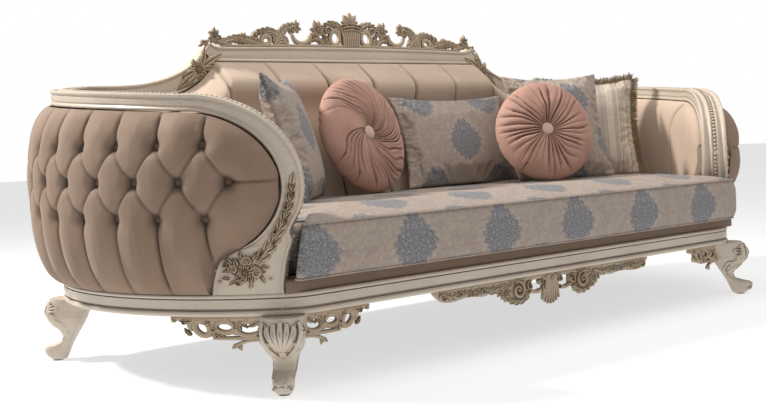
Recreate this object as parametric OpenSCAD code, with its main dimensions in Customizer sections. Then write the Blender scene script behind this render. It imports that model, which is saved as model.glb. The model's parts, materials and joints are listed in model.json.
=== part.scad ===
// Three-seater carved sofa with a boat-shaped seat frame, tufted outer arms and loose pillows.
// Millimetres, +Z up, front towards -Y. The plan is one outline of tangent arcs, and everything that
// runs round the sofa is placed on it by q, the distance behind the front corner, and r, outwards.

/* [Seat frame] */
// Length over the bowed end rails
frame_l = 2524; // [2300:2:2700]
// Depth over the front and back rails
frame_d = 1000; // [940:2:1060]
// Height of the rails' lower edge above the floor
leg_h = 194; // [170:1:220]
// Height of the moulded rails
rail_h = 58; // [48:1:70]
// Thickness of the moulded rails
rail_t = 60; // [50:1:70]
// Radius of the front corners
corner_r = 130; // [110:1:150]
// Angle that each front corner turns through, up to its leg
corner_a = 42.5; // [38:0.5:47]
// Radius of the bowed ends
end_r = 800; // [740:5:860]
// Radius of the rear corners
rear_r = 160; // [145:1:180]
// Distance of the plan's middle behind the origin
plan_y = 2; // [-40:1:40]

/* [Seat] */
// Height of the seat deck's cloth edge
deck_h = 32; // [22:1:45]
// Distance of the deck's edge behind the rail's face
deck_in = 14; // [8:1:25]
// Height of the seat cushion's boxing
cushion_h = 147; // [120:1:170]
// Rise of the seat cushion's crown
cushion_crown = 20; // [8:1:30]
// Overhang of the seat cushion in front of the rail
cushion_out = 44; // [30:1:60]
// Thickness of the webbing
web_t = 2.5; // [2:0.5:4]

/* [Arms] */
// Height of the arm's top edge at the nose
arm_h = 775; // [720:1:820]
// Rise of the arm rail from the nose to the back
arm_rise = 70; // [40:1:90]
// Height of the arm rail's band
band_h = 45; // [36:1:54]
// Thickness of the arm frame
arm_t = 85; // [76:1:95]
// Distance of the nose's tip in front of the leg's diagonal
nose_out = 71; // [60:1:80]
// Width of the band at the nose's tip
nose_w = 57; // [48:1:64]
// Height of the nose's tip above the floor
nose_z = 530; // [500:1:560]
// Swell of the tufted outer pad
outer_swell = 84; // [60:1:90]
// Swell of the plain inner pad
inner_swell = 38; // [25:1:45]
// Distance between tufting buttons
button_pitch = 126; // [110:1:140]
// Radius of the tufting buttons
button_r = 9; // [7:0.5:12]

/* [Back] */
// Height of the top rail's upper edge
back_h = 974; // [930:1:1010]
// Height of the top rail
top_rail_h = 48; // [40:1:58]
// Half length of the top rail
top_rail_half = 618; // [560:1:660]
// Thickness of the back frame
back_t = 55; // [46:1:62]
// Height of the cresting above the top rail
crest_h = 134; // [110:1:150]
// Thickness of the pierced carvings
carving_t = 18; // [14:1:24]
// Distance from the back rail's face to the pad's face at the seat
pad_depth = 231; // [215:1:245]
// Slope of the back pad's face
rake = 16; // [13:0.5:18]
// Number of upholstered channels between the shoulders
channels = 6; // [4:1:8]
// Swell of the back pad's channels
back_swell = 20; // [12:1:26]

/* [Pillows] */
// Side of the square damask pillows
square_w = 420; // [400:2:450]
// Side of the striped pillow
striped_w = 396; // [370:2:410]
// Thickness of the square pillows
square_t = 120; // [100:1:130]
// Diameter of the round pillows
round_d = 396; // [370:1:410]
// Thickness of the round pillows
round_t = 112; // [90:1:120]
// Width of the lumbar pillow
lumbar_w = 576; // [540:2:600]
// Height of the lumbar pillow
lumbar_h = 350; // [320:1:360]
// Thickness of the lumbar pillow
lumbar_t = 125; // [100:1:130]
// Width of the pillow fringe
fringe_w = 22; // [14:1:28]

/* [Hidden] */
$fn = 48;

// Clearance between soft pieces, and round pads that follow a curved frame
fit = 0.5;
pad_fit = 2.5;
// Colours of the finishes
ivory = [0.80, 0.76, 0.68];
taupe = [0.60, 0.51, 0.44];
blush = [0.72, 0.60, 0.53];
damask = [0.66, 0.60, 0.54];
cloth_brown = [0.36, 0.29, 0.24];
wood = [0.62, 0.48, 0.33];
steel_grey = [0.6, 0.6, 0.62];
pink = [0.72, 0.53, 0.48];

// Plan outline, right half: front line, front corner, bowed end, rear corner, back line
front_y = plan_y - frame_d / 2;
back_y = plan_y + frame_d / 2;
function turn(a) = [sin(a), -cos(a)];
corner_c = [frame_l / 2 - end_r + (end_r - corner_r) * sin(corner_a), front_y + corner_r];
end_c = corner_c - (end_r - corner_r) * turn(corner_a);
rear_a = acos(-(back_y - rear_r - end_c.y) / (end_r - rear_r));
rear_c = end_c + (end_r - rear_r) * turn(rear_a);
// Lengths of the bowed end and of the rear corner along the outline
end_len = (rear_a - corner_a) * end_r * PI / 180;
turn_len = (180 - rear_a) * rear_r * PI / 180;
back_q = end_len + turn_len;
function heading(q) = q < end_len ? corner_a + q / end_r * 180 / PI
    : q < back_q ? rear_a + (q - end_len) / rear_r * 180 / PI : 180;
function wall(q, r) = q < end_len ? end_c + (end_r + r) * turn(heading(q))
    : q < back_q ? rear_c + (rear_r + r) * turn(heading(q))
    : [rear_c.x - (q - back_q), back_y + r];
function at(q, r, z) = let (w = wall(q, r)) [w.x, w.y, z];
function q_of_x(x) = back_q + rear_c.x - x;
function arc_points(c, r, a0, a1, n) = [for (i = [0:n]) c + r * turn(a0 + (a1 - a0) * i / n)];
function half_outline(o) = concat(
    arc_points(corner_c, corner_r + o, 0, corner_a, 6),
    arc_points(end_c, end_r + o, corner_a + 4, rear_a, 14),
    arc_points(rear_c, rear_r + o, rear_a + 12, 180, 6));
function flipped(points) = [for (i = [len(points) - 1:-1:0]) [-points[i].x, points[i].y]];
function whole(points) = concat(points, flipped(points));

// Heights
rail_z = leg_h;
rail_top = rail_z + rail_h;
deck_top = rail_top + deck_h;
seat_z = deck_top + fit;
seat_top = seat_z + cushion_h;
sit_z = seat_top + cushion_crown;

// The arm's band lies between two ellipses at the nose and runs level with the arm's top behind it
nose_q = 260;
nose_in = nose_q + nose_out - nose_w;
foot_q = 184;
foot_h = 119;
foot_round = 84;
// The nose's curve ends nose_end below its tip, foot_neck above the round of the post's foot
nose_end = 46;
foot_neck = 15;
nose_fall = (nose_z - rail_top - foot_h - foot_neck) / sin(nose_end);
function arm_top(q) = arm_h + arm_rise * max(0, q - nose_q) / (back_q - nose_q);
function arm_low(q) = arm_top(q) - band_h;
function ellipse_rise(q, a, b) = b * sqrt(max(0, 1 - pow((q - nose_q) / a, 2)));
function panel_top(q) = q < nose_q
    ? nose_z + ellipse_rise(q, nose_in, arm_h - band_h - nose_z) : arm_low(q);
function panel_foot(q) = q >= foot_q ? rail_top
    : q > foot_q - foot_round
        ? rail_top + foot_h * sqrt(1 - pow((q - foot_q + foot_round) / foot_round, 2))
        : max(rail_top, nose_z - ellipse_rise(q, nose_in, nose_fall));

module right_or_left(side) {
    if (side < 0) mirror([1, 0, 0]) children();
    else children();
}

// Skin over a row of rings with equal counts; each ring is flat, and the first faces back. The
// points of a paired ring lie opposite each other, so its ends close in strips
function backwards(list) = [for (i = [len(list) - 1:-1:0]) list[i]];
module loft(rings, alternate = false, paired = false) {
    n = len(rings[0]);
    last = len(rings) - 1;
    cap = paired ? [for (j = [0:n / 2 - 2]) [j, j + 1, n - 2 - j, n - 1 - j]]
        : [[for (j = [0:n - 1]) j]];
    polyhedron(
        points = [for (ring = rings) each ring],
        faces = concat(
            cap,
            [for (strip = cap) [for (j = backwards(strip)) last * n + j]],
            [for (i = [0:last - 1]) for (j = [0:n - 1])
                let (a = i * n + j, b = i * n + (j + 1) % n, c = b + n, d = a + n)
                each (alternate && (i + j) % 2 == 1) ? [[a, d, b], [d, c, b]]
                    : [[a, d, c], [a, c, b]]]),
        convexity = 8);
}

// Rails: one moulded section, swept along the lines and arcs of the plan
module rail_section() {
    bead = 8;
    translate([-rail_t, 0]) square([rail_t - bead, rail_h]);
    translate([-bead, bead]) circle(r = bead);
    translate([-2 * bead, 0]) square([bead, 2 * bead]);
    translate([-bead - 1, 2 * bead + 5]) square([bead * 0.6, rail_h - 4 * bead - 3]);
    translate([-bead, rail_h - bead + 2]) circle(r = bead - 2);
}
module sweep_arc(centre, radius, from, to)
    translate([centre.x, centre.y, 0]) rotate([0, 0, from - 90])
        rotate_extrude(angle = to - from, $fn = 180) translate([radius, 0]) children();

module front_rail() color(ivory) translate([0, 0, rail_z]) {
    translate([corner_c.x, front_y, 0]) rotate([90, 0, -90])
        linear_extrude(2 * corner_c.x) rail_section();
    for (side = [1, -1]) right_or_left(side)
        sweep_arc(corner_c, corner_r, 0, corner_a) rail_section();
}
module end_rail(side) color(ivory) right_or_left(side)
    translate([0, 0, rail_z]) sweep_arc(end_c, end_r, corner_a, rear_a) rail_section();
module back_rail() color(ivory) translate([0, 0, rail_z]) {
    translate([-rear_c.x, back_y, 0]) rotate([90, 0, 90])
        linear_extrude(2 * rear_c.x) rail_section();
    for (side = [1, -1]) right_or_left(side)
        sweep_arc(rear_c, rear_r, 180, rear_a) rail_section();
}

// Frame inside the seat
cross_x = frame_l / 7;
cross_w = 45;
cross_h = rail_h - 12;
module cross_rails() color(wood)
    for (side = [1, -1])
        translate([side * cross_x - cross_w / 2, front_y + rail_t, rail_z])
            cube([cross_w, frame_d - 2 * rail_t, cross_h]);

leg_turn = [corner_a, 136];
leg_spot = [wall(0, 0), rear_c + rear_r * turn(leg_turn[1])];
bolt_in = 88;
bolt_r = 5;
bolt_deep = 36;
block_h = 40;
block_r = 150;
module each_corner() for (side = [1, -1]) for (i = [0, 1]) right_or_left(side)
    translate([leg_spot[i].x, leg_spot[i].y, 0]) rotate([0, 0, leg_turn[i] - 90]) children();
module corner_blocks() color(wood) translate([0, 0, rail_z]) difference() {
    linear_extrude(block_h) intersection() {
        polygon(whole(half_outline(-rail_t - fit)));
        for (side = [1, -1]) for (i = [0, 1])
            translate([side * leg_spot[i].x, leg_spot[i].y]) circle(r = block_r);
    }
    each_corner() translate([-bolt_in, 0, -1]) cylinder(r = bolt_r + 0.5, h = block_h + 2);
}
module leg_bolts() color(steel_grey) each_corner() translate([-bolt_in, 0, 0]) {
    translate([0, 0, rail_z - bolt_deep]) cylinder(r = bolt_r, h = block_h + bolt_deep);
    translate([0, 0, rail_z + block_h]) cylinder(r = bolt_r + 5, h = 7, $fn = 6);
}

// Legs: a cabriole drawn by its inner face, outer face and half width at each height
glide_h = 4;
glide_r = 15;
glide_out = 40;
leg_lines = [[0, 14, 68, 27], [0.05, 8, 82, 31], [0.11, 3, 88, 33], [0.17, -2, 88, 33],
    [0.215, -6, 78, 32], [0.25, -9, 44, 29], [0.29, -14, 20, 28], [0.38, -24, 14, 28],
    [0.48, -36, 24, 33], [0.58, -48, 44, 41], [0.69, -58, 58, 48], [0.8, -68, 62, 53],
    [0.88, -88, 59, 56], [0.94, -108, 54, 58], [1, -110, 50, 58]];
function round_square(a) = [sign(cos(a)) * pow(abs(cos(a)), 0.7),
    sign(sin(a)) * pow(abs(sin(a)), 0.7)];
function knee_shell(t, a) = abs(a) > 60 || t < 0.5 || t > 0.98 ? 0
    : 6 * sin(180 * (t - 0.5) / 0.48) * abs(cos(4.5 * a));
function leg_ring(line, carved, n) = [for (i = [0:n - 1])
    let (a = 360 * i / n, c = round_square(a), mid = (line[1] + line[2]) / 2,
        half = (line[2] - line[1]) / 2,
        lobe = carved ? knee_shell(line[0], a > 180 ? a - 360 : a) : 0)
    [mid + c.x * half + lobe, c.y * line[3], glide_h + line[0] * (leg_h - glide_h)]];
module leg(side, i, carved) color(ivory) right_or_left(side)
    translate([leg_spot[i].x, leg_spot[i].y, 0]) rotate([0, 0, leg_turn[i] - 90]) difference() {
        loft([for (line = leg_lines) leg_ring(line, carved, carved ? 30 : 16)]);
        translate([-bolt_in, 0, leg_h - bolt_deep]) cylinder(r = bolt_r, h = bolt_deep + 1);
    }
module foot_glides() color(cloth_brown)
    each_corner() translate([glide_out, 0, 0]) cylinder(r = glide_r, h = glide_h);

// Carvings: pierced scrollwork in layers of flat relief
module leaf(l, w) {
    r = (l * l + w * w) / (4 * w);
    intersection() {
        translate([l / 2, r - w / 2]) circle(r = r);
        translate([l / 2, w / 2 - r]) circle(r = r);
    }
}
module ring(r, w) difference() {
    circle(r = r);
    circle(r = r - w);
}
module leaf_fan(count, spread, l, w)
    for (i = [0:count - 1])
        rotate(-spread / 2 + spread * i / (count - 1)) leaf(l, w);

end_wing = 280;
front_wing = 236;
wing_gap = 74;
wing_pitch = 54;
function wing_rings(l) = floor((l - wing_gap - 30) / wing_pitch);
function wing_ring_r(i) = 31 - 3.5 * i;
module wing_outline(l) {
    translate([wing_gap, -14]) square([l - wing_gap - 12, 14]);
    for (i = [0:wing_rings(l) - 1])
        translate([wing_gap + 26 + wing_pitch * i, -wing_ring_r(i)])
            ring(wing_ring_r(i), wing_ring_r(i) * 0.4);
    translate([l - 14, -13]) circle(r = 13);
    for (i = [0:wing_rings(l) - 2])
        translate([wing_gap - 2 + wing_pitch * i, -66 + 8 * i]) rotate(6) leaf(84 - 6 * i, 18);
    translate([wing_gap + 34, -80]) rotate(38) leaf(52, 15);
}
module wing(l) {
    translate([0, -carving_t, 0]) rotate([90, 0, 0]) mirror([0, 0, 1])
        linear_extrude(carving_t) wing_outline(l);
    translate([0, -carving_t, 0]) rotate([90, 0, 0]) linear_extrude(4) {
        for (i = [0:wing_rings(l) - 1])
            translate([wing_gap + 26 + wing_pitch * i, -wing_ring_r(i)])
                ring(wing_ring_r(i) - 3, wing_ring_r(i) * 0.2);
        translate([l - 14, -13]) ring(11, 5);
    }
}
// The wings stand just behind the rail's face: one along the bowed end, one along the front
wing_in = 14;
module wing_between(from, to) {
    way = to - from;
    translate([from.x, from.y, 0]) rotate([0, 0, atan2(way.y, way.x)]) children();
}
module bracket(side) color(ivory) right_or_left(side) translate([0, 0, rail_z]) {
    from = wall(0, -wing_in);
    wing_between(from, wall(end_wing, -wing_in)) wing(end_wing);
    wing_between(from, [from.x - front_wing, front_y + wing_in]) mirror([0, 1, 0])
        wing(front_wing);
}

apron_half = 492;
apron_drop = 106;
module apron_outline() {
    for (side = [1, -1]) scale([side, 1]) {
        translate([0, -12]) square([apron_half - 30, 12]);
        translate([apron_half - 34, -11]) circle(r = 10);
        translate([apron_half - 34, -20]) rotate(188) leaf(180, 22);
        translate([apron_half - 190, -24]) rotate(190) leaf(170, 34);
        translate([250, -24]) circle(r = 20);
        translate([148, -40]) ring(34, 16);
        translate([196, -32]) circle(r = 24);
        translate([84, -30]) ring(27, 12);
        translate([40, -21]) circle(r = 20);
        translate([110, -56]) rotate(-150) leaf(90, 26);
    }
    translate([0, -4]) rotate(-90) leaf_fan(5, 76, apron_drop - 14, 30);
    translate([0, -4]) rotate(-90) leaf(apron_drop - 4, 34);
}
module apron_relief() {
    for (side = [1, -1]) scale([side, 1]) {
        translate([148, -40]) ring(30, 6);
        translate([84, -30]) ring(23, 5);
        translate([apron_half - 198, -26]) rotate(190) leaf(146, 14);
        translate([apron_half - 40, -18]) rotate(188) leaf(150, 9);
    }
    translate([0, -8]) rotate(-90) leaf_fan(5, 70, apron_drop - 30, 12);
    translate([0, -12]) circle(r = 9);
}
module apron_carving() color(ivory)
    translate([0, front_y + wing_in + carving_t, rail_z]) rotate([90, 0, 0]) {
        linear_extrude(carving_t) apron_outline();
        linear_extrude(carving_t + 5) apron_relief();
    }

// Seat: webbing, sprung deck, dust cover and the loose cushion
web_w = 60;
web_count = 13;
web_rows = 5;
web_front = front_y + deck_in + 28;
module seat_webbing_long() color(wood) {
    span = 2 * (corner_c.x - 40);
    for (i = [0:web_count - 1])
        translate([-span / 2 + span * i / (web_count - 1) - web_w / 2, web_front, rail_top])
            cube([web_w, back_y - 15 - web_front, web_t]);
}
module seat_webbing_cross() color(wood)
    for (i = [0:web_rows - 1]) {
        y = front_y + 150 + (frame_d - 330) * i / (web_rows - 1);
        reach = end_c.x + sqrt(pow(end_r - arm_t - 6, 2) - pow(abs(y - end_c.y) + web_w / 2, 2));
        translate([-reach, y - web_w / 2, rail_top + web_t]) cube([2 * reach, web_w, web_t]);
    }
module dust_cover() color(cloth_brown)
    translate([0, 0, rail_z - 2]) linear_extrude(2) difference() {
        polygon(whole(half_outline(-rail_t + 18)));
        for (side = [1, -1]) for (i = [0, 1])
            translate([side * leg_spot[i].x, leg_spot[i].y]) circle(r = block_r);
    }
// Point at depth y on the line that stands square on the bowed end at q
function along_post(q, y) = let (p = wall(q, 0), d = turn(heading(q)))
    p + d * (y - p.y) / d.y;
module seat_deck() color(cloth_brown) {
    edge_y = front_y + deck_in;
    deck_q = -13;
    outline = concat([along_post(deck_q, edge_y)], [wall(deck_q, -arm_t - 1)],
        [for (q = [20:60:end_len - 40]) wall(q, -arm_t - 1)],
        [[rear_c.x + 20, back_y - 120], [rear_c.x - 30, back_y - rail_t - 1]]);
    lift = 2 * web_t;
    lip = 26;
    translate([0, 0, rail_top + lift]) linear_extrude(deck_h - lift) polygon(whole(outline));
    translate([0, 0, rail_top]) linear_extrude(lift) intersection() {
        polygon(whole(outline));
        translate([-frame_l / 2, edge_y]) square([frame_l, lip]);
    }
}

// The cushion's outline: straight front, slanted past the posts, then inside the arm pads
cushion_side = arm_t + inner_swell + 4;
cushion_back = back_y - pad_depth - back_swell - 2;
// The front and back edges bow out a little in the middle
edge_bow = 2;
function mixed(a, b, t) = a + (b - a) * t;
function rounded(a, b, c, n) = [for (i = [0:n])
    mixed(mixed(a, b, i / n), mixed(b, c, i / n), i / n)];
cushion_line = let (
        q = -nose_out - 3,
        y = front_y - cushion_out,
        tip = along_post(q, y),
        d = turn(heading(q)),
        inner = wall(q, -arm_t - 28),
        rear_phi = acos(-(cushion_back - end_c.y) / (end_r - cushion_side)),
        rear_q = (rear_phi - corner_a) * end_r * PI / 180)
    concat(
        [for (x = [80:160:tip.x - 90]) [x, y - edge_bow * (1 - pow(x / tip.x, 2))]],
        rounded(tip - [30, 0], tip, tip - d * 28, 4),
        rounded(mixed(tip, inner, 0.75), inner, wall(60, -cushion_side), 4),
        [for (i = [1:8]) wall(60 + (rear_q - 100) * i / 8, -cushion_side)],
        rounded(wall(rear_q - 22, -cushion_side), wall(rear_q, -cushion_side),
            [wall(rear_q, -cushion_side).x - 40, cushion_back], 3),
        [for (x = [880:-200:80]) [x, cushion_back + edge_bow * (1 - pow(x / tip.x, 2))]]);
// Each ring is the outline drawn in, by less where it nears the middle lines
inset_reach = 400;
function cushion_ring(inset, z) = let (line = whole(cushion_line))
    [for (p = line) [p.x * (1 - inset / max(abs(p.x), inset_reach)),
        p.y * (1 - inset / max(abs(p.y), inset_reach)), z]];
module seat_cushion() color(damask)
    loft([
        cushion_ring(10, seat_z), cushion_ring(1, seat_z + 7),
        cushion_ring(4, seat_z + cushion_h * 0.25), cushion_ring(4, seat_z + cushion_h * 0.75),
        cushion_ring(0, seat_top - 7), cushion_ring(7, seat_top),
        cushion_ring(40, seat_top + cushion_crown * 0.55),
        cushion_ring(105, sit_z - 0.3), cushion_ring(200, sit_z)], paired = true);

// Moulded band: rows run from the inner edge to the outer edge, with a bead along both
bead = 5;
function band_section(ri, ro) = [[0, ri + bead], [0.1, ri], [0.24, ri], [0.36, ri + bead],
    [0.7, ri + bead], [0.82, ri], [0.94, ri], [1, ri + bead],
    [1, ro - bead], [0.94, ro], [0.82, ro], [0.7, ro - bead],
    [0.36, ro - bead], [0.24, ro], [0.1, ro], [0, ro - bead]];
function band_ring(inner, outer, ri, ro) = [for (p = band_section(ri, ro))
    at(mixed(inner.x, outer.x, p.x), p.y, mixed(inner.y, outer.y, p.x))];
function nose_row(a) = let (b = a < 0 ? nose_fall : arm_h - band_h - nose_z) [
    [nose_q - nose_in * cos(a), nose_z + b * sin(a)],
    [nose_q - (nose_in + nose_w) * cos(a), nose_z + (b + band_h) * sin(a)]];
post_rows = concat(
    [for (t = [90:-15:0]) [
        [foot_q - foot_round + foot_round * sin(t), rail_top + foot_h * cos(t)],
        [-8 - 26 * pow(cos(t), 2), rail_top + (foot_h + 9) * cos(t)]]],
    [for (a = [-nose_end, -38, -30, -20, -10, 0])
        let (row = nose_row(a), k = 1 + a / nose_end, neck_z = rail_top + foot_h + 21)
        [row[0], mixed([-36 - 30 * k, mixed(neck_z, nose_z, k)], row[1], min(1, k * 1.6))]]);
module arm_post(side) color(ivory) right_or_left(side)
    loft([for (row = post_rows) band_ring(row[0], row[1], -arm_t, 0)], paired = true);
rear_rows = concat([for (i = [1:14]) mixed(nose_q, end_len, i / 14)],
    [for (i = [1:7]) mixed(end_len, back_q, i / 7)]);
function frame_t(q) = arm_t + (back_t - arm_t)
    * min(1, max(0, (q - end_len * 0.7) / (back_q - end_len * 0.7)));
module arm_rail(side) color(ivory) right_or_left(side)
    loft(concat(
        [for (a = [0:10:90]) let (row = nose_row(a)) band_ring(row[0], row[1], -arm_t, 0)],
        [for (q = rear_rows) band_ring([q, arm_low(q)], [q, arm_top(q)], -frame_t(q), 0)]),
        paired = true);

// Arm filling: three uprights and a hessian sheet between the rails
upright_q = [300, 520, 740];
upright_w = 38;
upright_t = 30;
hessian_t = 2;
hessian_in = 24;
module arm_uprights(side) color(wood) right_or_left(side)
    for (q = upright_q) {
        foot = wall(q, -hessian_in - hessian_t - fit);
        translate([foot.x, foot.y, rail_top]) rotate([0, 0, heading(q) - 90])
            translate([-upright_t, -upright_w / 2, 0])
                cube([upright_t, upright_w, arm_low(q - upright_w / 2) - rail_top]);
    }
module arm_hessian(side) color(wood) right_or_left(side)
    translate([0, 0, rail_top])
        sweep_arc(end_c, end_r, heading(foot_q + 16), rear_a)
            translate([-hessian_in - hessian_t, 0])
                square([hessian_t, arm_h - band_h - rail_top - 30]);

// Diamond tufting: buttons in three staggered rows, folds between them, pleats above and below
tuft_q = 104;
tuft_shares = [0.382, 0.56, 0.736];
row_slope = 0.022;
tuft_step = button_pitch / 4;
function wave(x) = pow(abs(sin(180 * x)), 0.5);
function tuft_z(i, q) = mixed(rail_top, arm_h, tuft_shares[i]) + row_slope * (q - tuft_q);
function tuft_depth(q, z) = let (
        u = (q - tuft_q) / button_pitch,
        low = tuft_z(0, q), mid = tuft_z(1, q), high = tuft_z(2, q),
        v = z > mid ? (z - mid) / (high - mid) : (z - mid) / (mid - low))
    abs(v) > 1 ? wave(u - 0.5) : wave(u + v / 2) * wave(u - v / 2);
function near_button(q, z) = let (
        k = round((q - tuft_q) / button_pitch), m = round((q - tuft_q) / button_pitch - 0.5) + 0.5,
        d0 = norm([q - tuft_q - k * button_pitch, z - tuft_z(1, q)]),
        d1 = norm([q - tuft_q - m * button_pitch,
            min(abs(z - tuft_z(0, q)), abs(z - tuft_z(2, q)))]))
    exp(-pow(min(d0, d1) / 26, 2));
function pad_foot(q) = panel_foot(q - pad_fit) + pad_fit;
function pad_head(q) = panel_top(q - pad_fit) - pad_fit;
pad_start = nose_q - nose_in + 2 * pad_fit + 1.5;
function swell_end(q) = min(1, 1 - 0.82 * pow(max(0, q - end_len - 60) / (turn_len - 60), 2))
    * pow(1 - pow(1 - min(1, (q + nose_out - nose_w + 1) / 190), 2.6), 0.55);
function swell_across(v) = pow(1 - pow(abs(2 * v - 1), 3), 0.6);
function outer_r(q, z) = let (
        low = panel_foot(q), high = panel_top(q), v = min(1, max(0, (z - low) / (high - low))),
        body = outer_swell * swell_across(v) * swell_end(q),
        t = q < tuft_q - 20 ? 1 : mixed(1, tuft_depth(q, z), min(1, (q - tuft_q + 20) / 60)))
    body * (0.78 + 0.22 * t) * (1 - 0.4 * (q < tuft_q - 70 ? 0 : near_button(q, z))) - 2;
function outer_heights(q) = let (
        low = pad_foot(q), high = pad_head(q), span = high - low,
        a = max(tuft_z(0, q), low + 0.25 * span), c = min(tuft_z(2, q), high - 0.25 * span),
        b = (a + c) / 2 + (span > 200 ? tuft_z(1, q) - (tuft_z(0, q) + tuft_z(2, q)) / 2 : 0))
    [low, mixed(low, a, 0.07), mixed(low, a, 0.3), mixed(low, a, 0.65), a, (a + b) / 2, b,
        (b + c) / 2, c, mixed(c, high, 0.45), mixed(c, high, 0.8), mixed(c, high, 0.97), high];
outer_back = 22;
outer_places = concat([pad_start, pad_start + 6],
    [for (q = [tuft_q - 3 * tuft_step:tuft_step / 2:foot_q - 4]) q],
    [foot_q - 9, foot_q - 3, foot_q + 2, foot_q + 4],
    [for (q = [tuft_q + 3 * tuft_step:tuft_step:back_q - 12]) q], [back_q - 1]);
module arm_outer_pad(side) color(taupe) right_or_left(side)
    loft([for (q = backwards(outer_places)) let (z = outer_heights(q)) concat(
        [at(q, -outer_back, z[len(z) - 1]), at(q, -outer_back, z[0])],
        [for (h = z) at(q, outer_r(q, h), h)])], alternate = true);
tuft_last = floor((back_q - 40 - tuft_q) / button_pitch);
module tufting_buttons(side) color(taupe) right_or_left(side)
    for (row = [0:2]) for (k = [0:tuft_last]) {
        q = tuft_q + button_pitch * (k + (row == 1 ? 0 : 0.5));
        z = tuft_z(row, q);
        if (q < back_q - 30) {
            w = wall(q, outer_r(q, z) - 3);
            translate([w.x, w.y, z]) rotate([0, 0, heading(q) - 90]) rotate([0, 90, 0])
                cylinder(r = button_r, h = 9);
        }
    }

// Inner arm pad: plain, with a few upright channels and a rounded top
inner_channel = 215;
inner_end = let (phi = acos(-(back_y - pad_depth - 8 - end_c.y) / (end_r - arm_t - inner_swell)))
    (phi - corner_a) * end_r * PI / 180;
inner_front = hessian_in + hessian_t + upright_t + 2 * fit + 3;
function channel_dip(x) = pow(abs(sin(180 * x)), 0.35);
function inner_r(q, v) = let (
        tip = pow(1 - pow(1 - min(1, (q + nose_out - nose_w + 1) / 120), 2.6), 0.5),
        dip = 0.8 + 0.2 * channel_dip((q - 190) / inner_channel))
    arm_t + tip * dip * inner_swell * (v < 0.5 ? 1 : pow(1 - pow(2 * v - 1, 4), 0.6));
inner_places = concat([pad_start], [for (q = [6:18:foot_q - 16]) q],
    [foot_q - 9, foot_q - 3, foot_q + 2, foot_q + 4],
    [for (q = [foot_q + 20:inner_channel / 6:inner_end - 15]) q], [inner_end]);
module arm_inner_pad(side) color(blush) right_or_left(side)
    loft([for (q = backwards(inner_places)) let (
            low = max(deck_top + fit, pad_foot(q)), high = pad_head(q))
        concat(
            [at(q, -inner_front, low), at(q, -inner_front, high)],
            [for (v = [1, 0.97, 0.88, 0.75, 0.5, 0.25, 0.04, 0])
                at(q, -inner_r(q, v < 0.05 ? 0.02 : v) + (v == 0 ? 3 : 0), mixed(low, high, v))])]);

// Post carving: a rosette on the foot and leaves up the band, in two layers of relief
rosette_q = 104;
rosette_up = 62;
module rosette_relief(step) {
    circle(r = 20 - step * 8);
    for (i = [0:7]) rotate(45 * i + 20) translate([14, 0]) leaf(24 - step * 4, 13 - step * 5);
}
module post_leaves(step) {
    for (i = [0:3])
        translate([-58 + 20 * i, rail_top + 86 + 22 * i + 3 * i * i]) rotate(38 + 11 * i)
            translate([step * 3, 0]) leaf(48 - step * 8, 15 - step * 6);
}
// The climbing leaf lies in the hollow between the band's beads, seat_gap above its floor
climb_q = -20;
seat_gap = 0.3;
module climbing_leaf(step) translate([climb_q + 4, rail_top + 165]) rotate(63)
    translate([step * 4, 0]) leaf(64 - step * 12, 13 - step * 5);
module on_wall(q) translate([wall(q, 0).x, wall(q, 0).y, 0]) rotate([0, 0, heading(q)])
    rotate([90, 0, 0]) mirror([1, 0, 0]) children();
module post_carving(side) color(ivory) right_or_left(side) {
    on_wall(0) for (step = [0, 1]) linear_extrude(6 + 3 * step) post_leaves(step);
    on_wall(climb_q) translate([0, 0, seat_gap - bead]) for (step = [0, 1])
        linear_extrude(6 + bead + 3 * step) climbing_leaf(step);
    on_wall(rosette_q) translate([0, rail_top + rosette_up, 0])
        for (step = [0, 1]) linear_extrude(6 + 3 * step) rosette_relief(step);
}

// Back frame: shoulders sweep up from the arm rails to a slightly arched top rail
shoulder_run = rear_c.x - top_rail_half;
function shoulder_top(x) = let (k = (rear_c.x - x) / shoulder_run)
    arm_h + arm_rise + (back_h - arm_h - arm_rise) * pow(k, 3.4) + 18 * pow(k, 12);
function shoulder_low(x) = let (k = (rear_c.x - x) / (rear_c.x - top_rail_half + 12))
    arm_h + arm_rise - band_h + (back_h - top_rail_h - arm_h - arm_rise + band_h) * pow(k, 5);
top_arch = 8;
function rail_arch(x) = top_arch * (1 - pow(x / top_rail_half, 2))
    + 18 * pow(abs(x) / top_rail_half, 40);
// The back's band is flat: a slab with a raised bead along both edges, cut from rows of edge points
function strip(rows, a, b) = concat([for (row = rows) mixed(row[0], row[1], a)],
    backwards([for (row = rows) mixed(row[0], row[1], b)]));
module flat_band(rows) translate([0, back_y, 0]) rotate([90, 0, 0]) {
    translate([0, 0, bead]) linear_extrude(back_t - 2 * bead) polygon(strip(rows, 0, 1));
    for (lip = [[0.05, 0.3], [0.76, 0.95]])
        linear_extrude(back_t) polygon(strip(rows, lip[0], lip[1]));
}
module back_shoulder(side) color(ivory) right_or_left(side)
    flat_band([for (i = [0:16]) let (k = i / 16, x = mixed(rear_c.x, top_rail_half, k),
            low_x = x - 12 * pow(k, 3))
        [[low_x, shoulder_low(low_x)], [x, shoulder_top(x)]]]);
rail_places = concat([for (k = [1, 0.985, 0.97, 0.945]) k * top_rail_half],
    [for (i = [5:-1:-5]) i / 6 * top_rail_half],
    [for (k = [0.945, 0.97, 0.985, 1]) -k * top_rail_half]);
module back_top_rail() color(ivory) flat_band([for (x = rail_places)
    [[x - 12 * x / top_rail_half, back_h - top_rail_h], [x, back_h + rail_arch(x)]]]);

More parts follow.
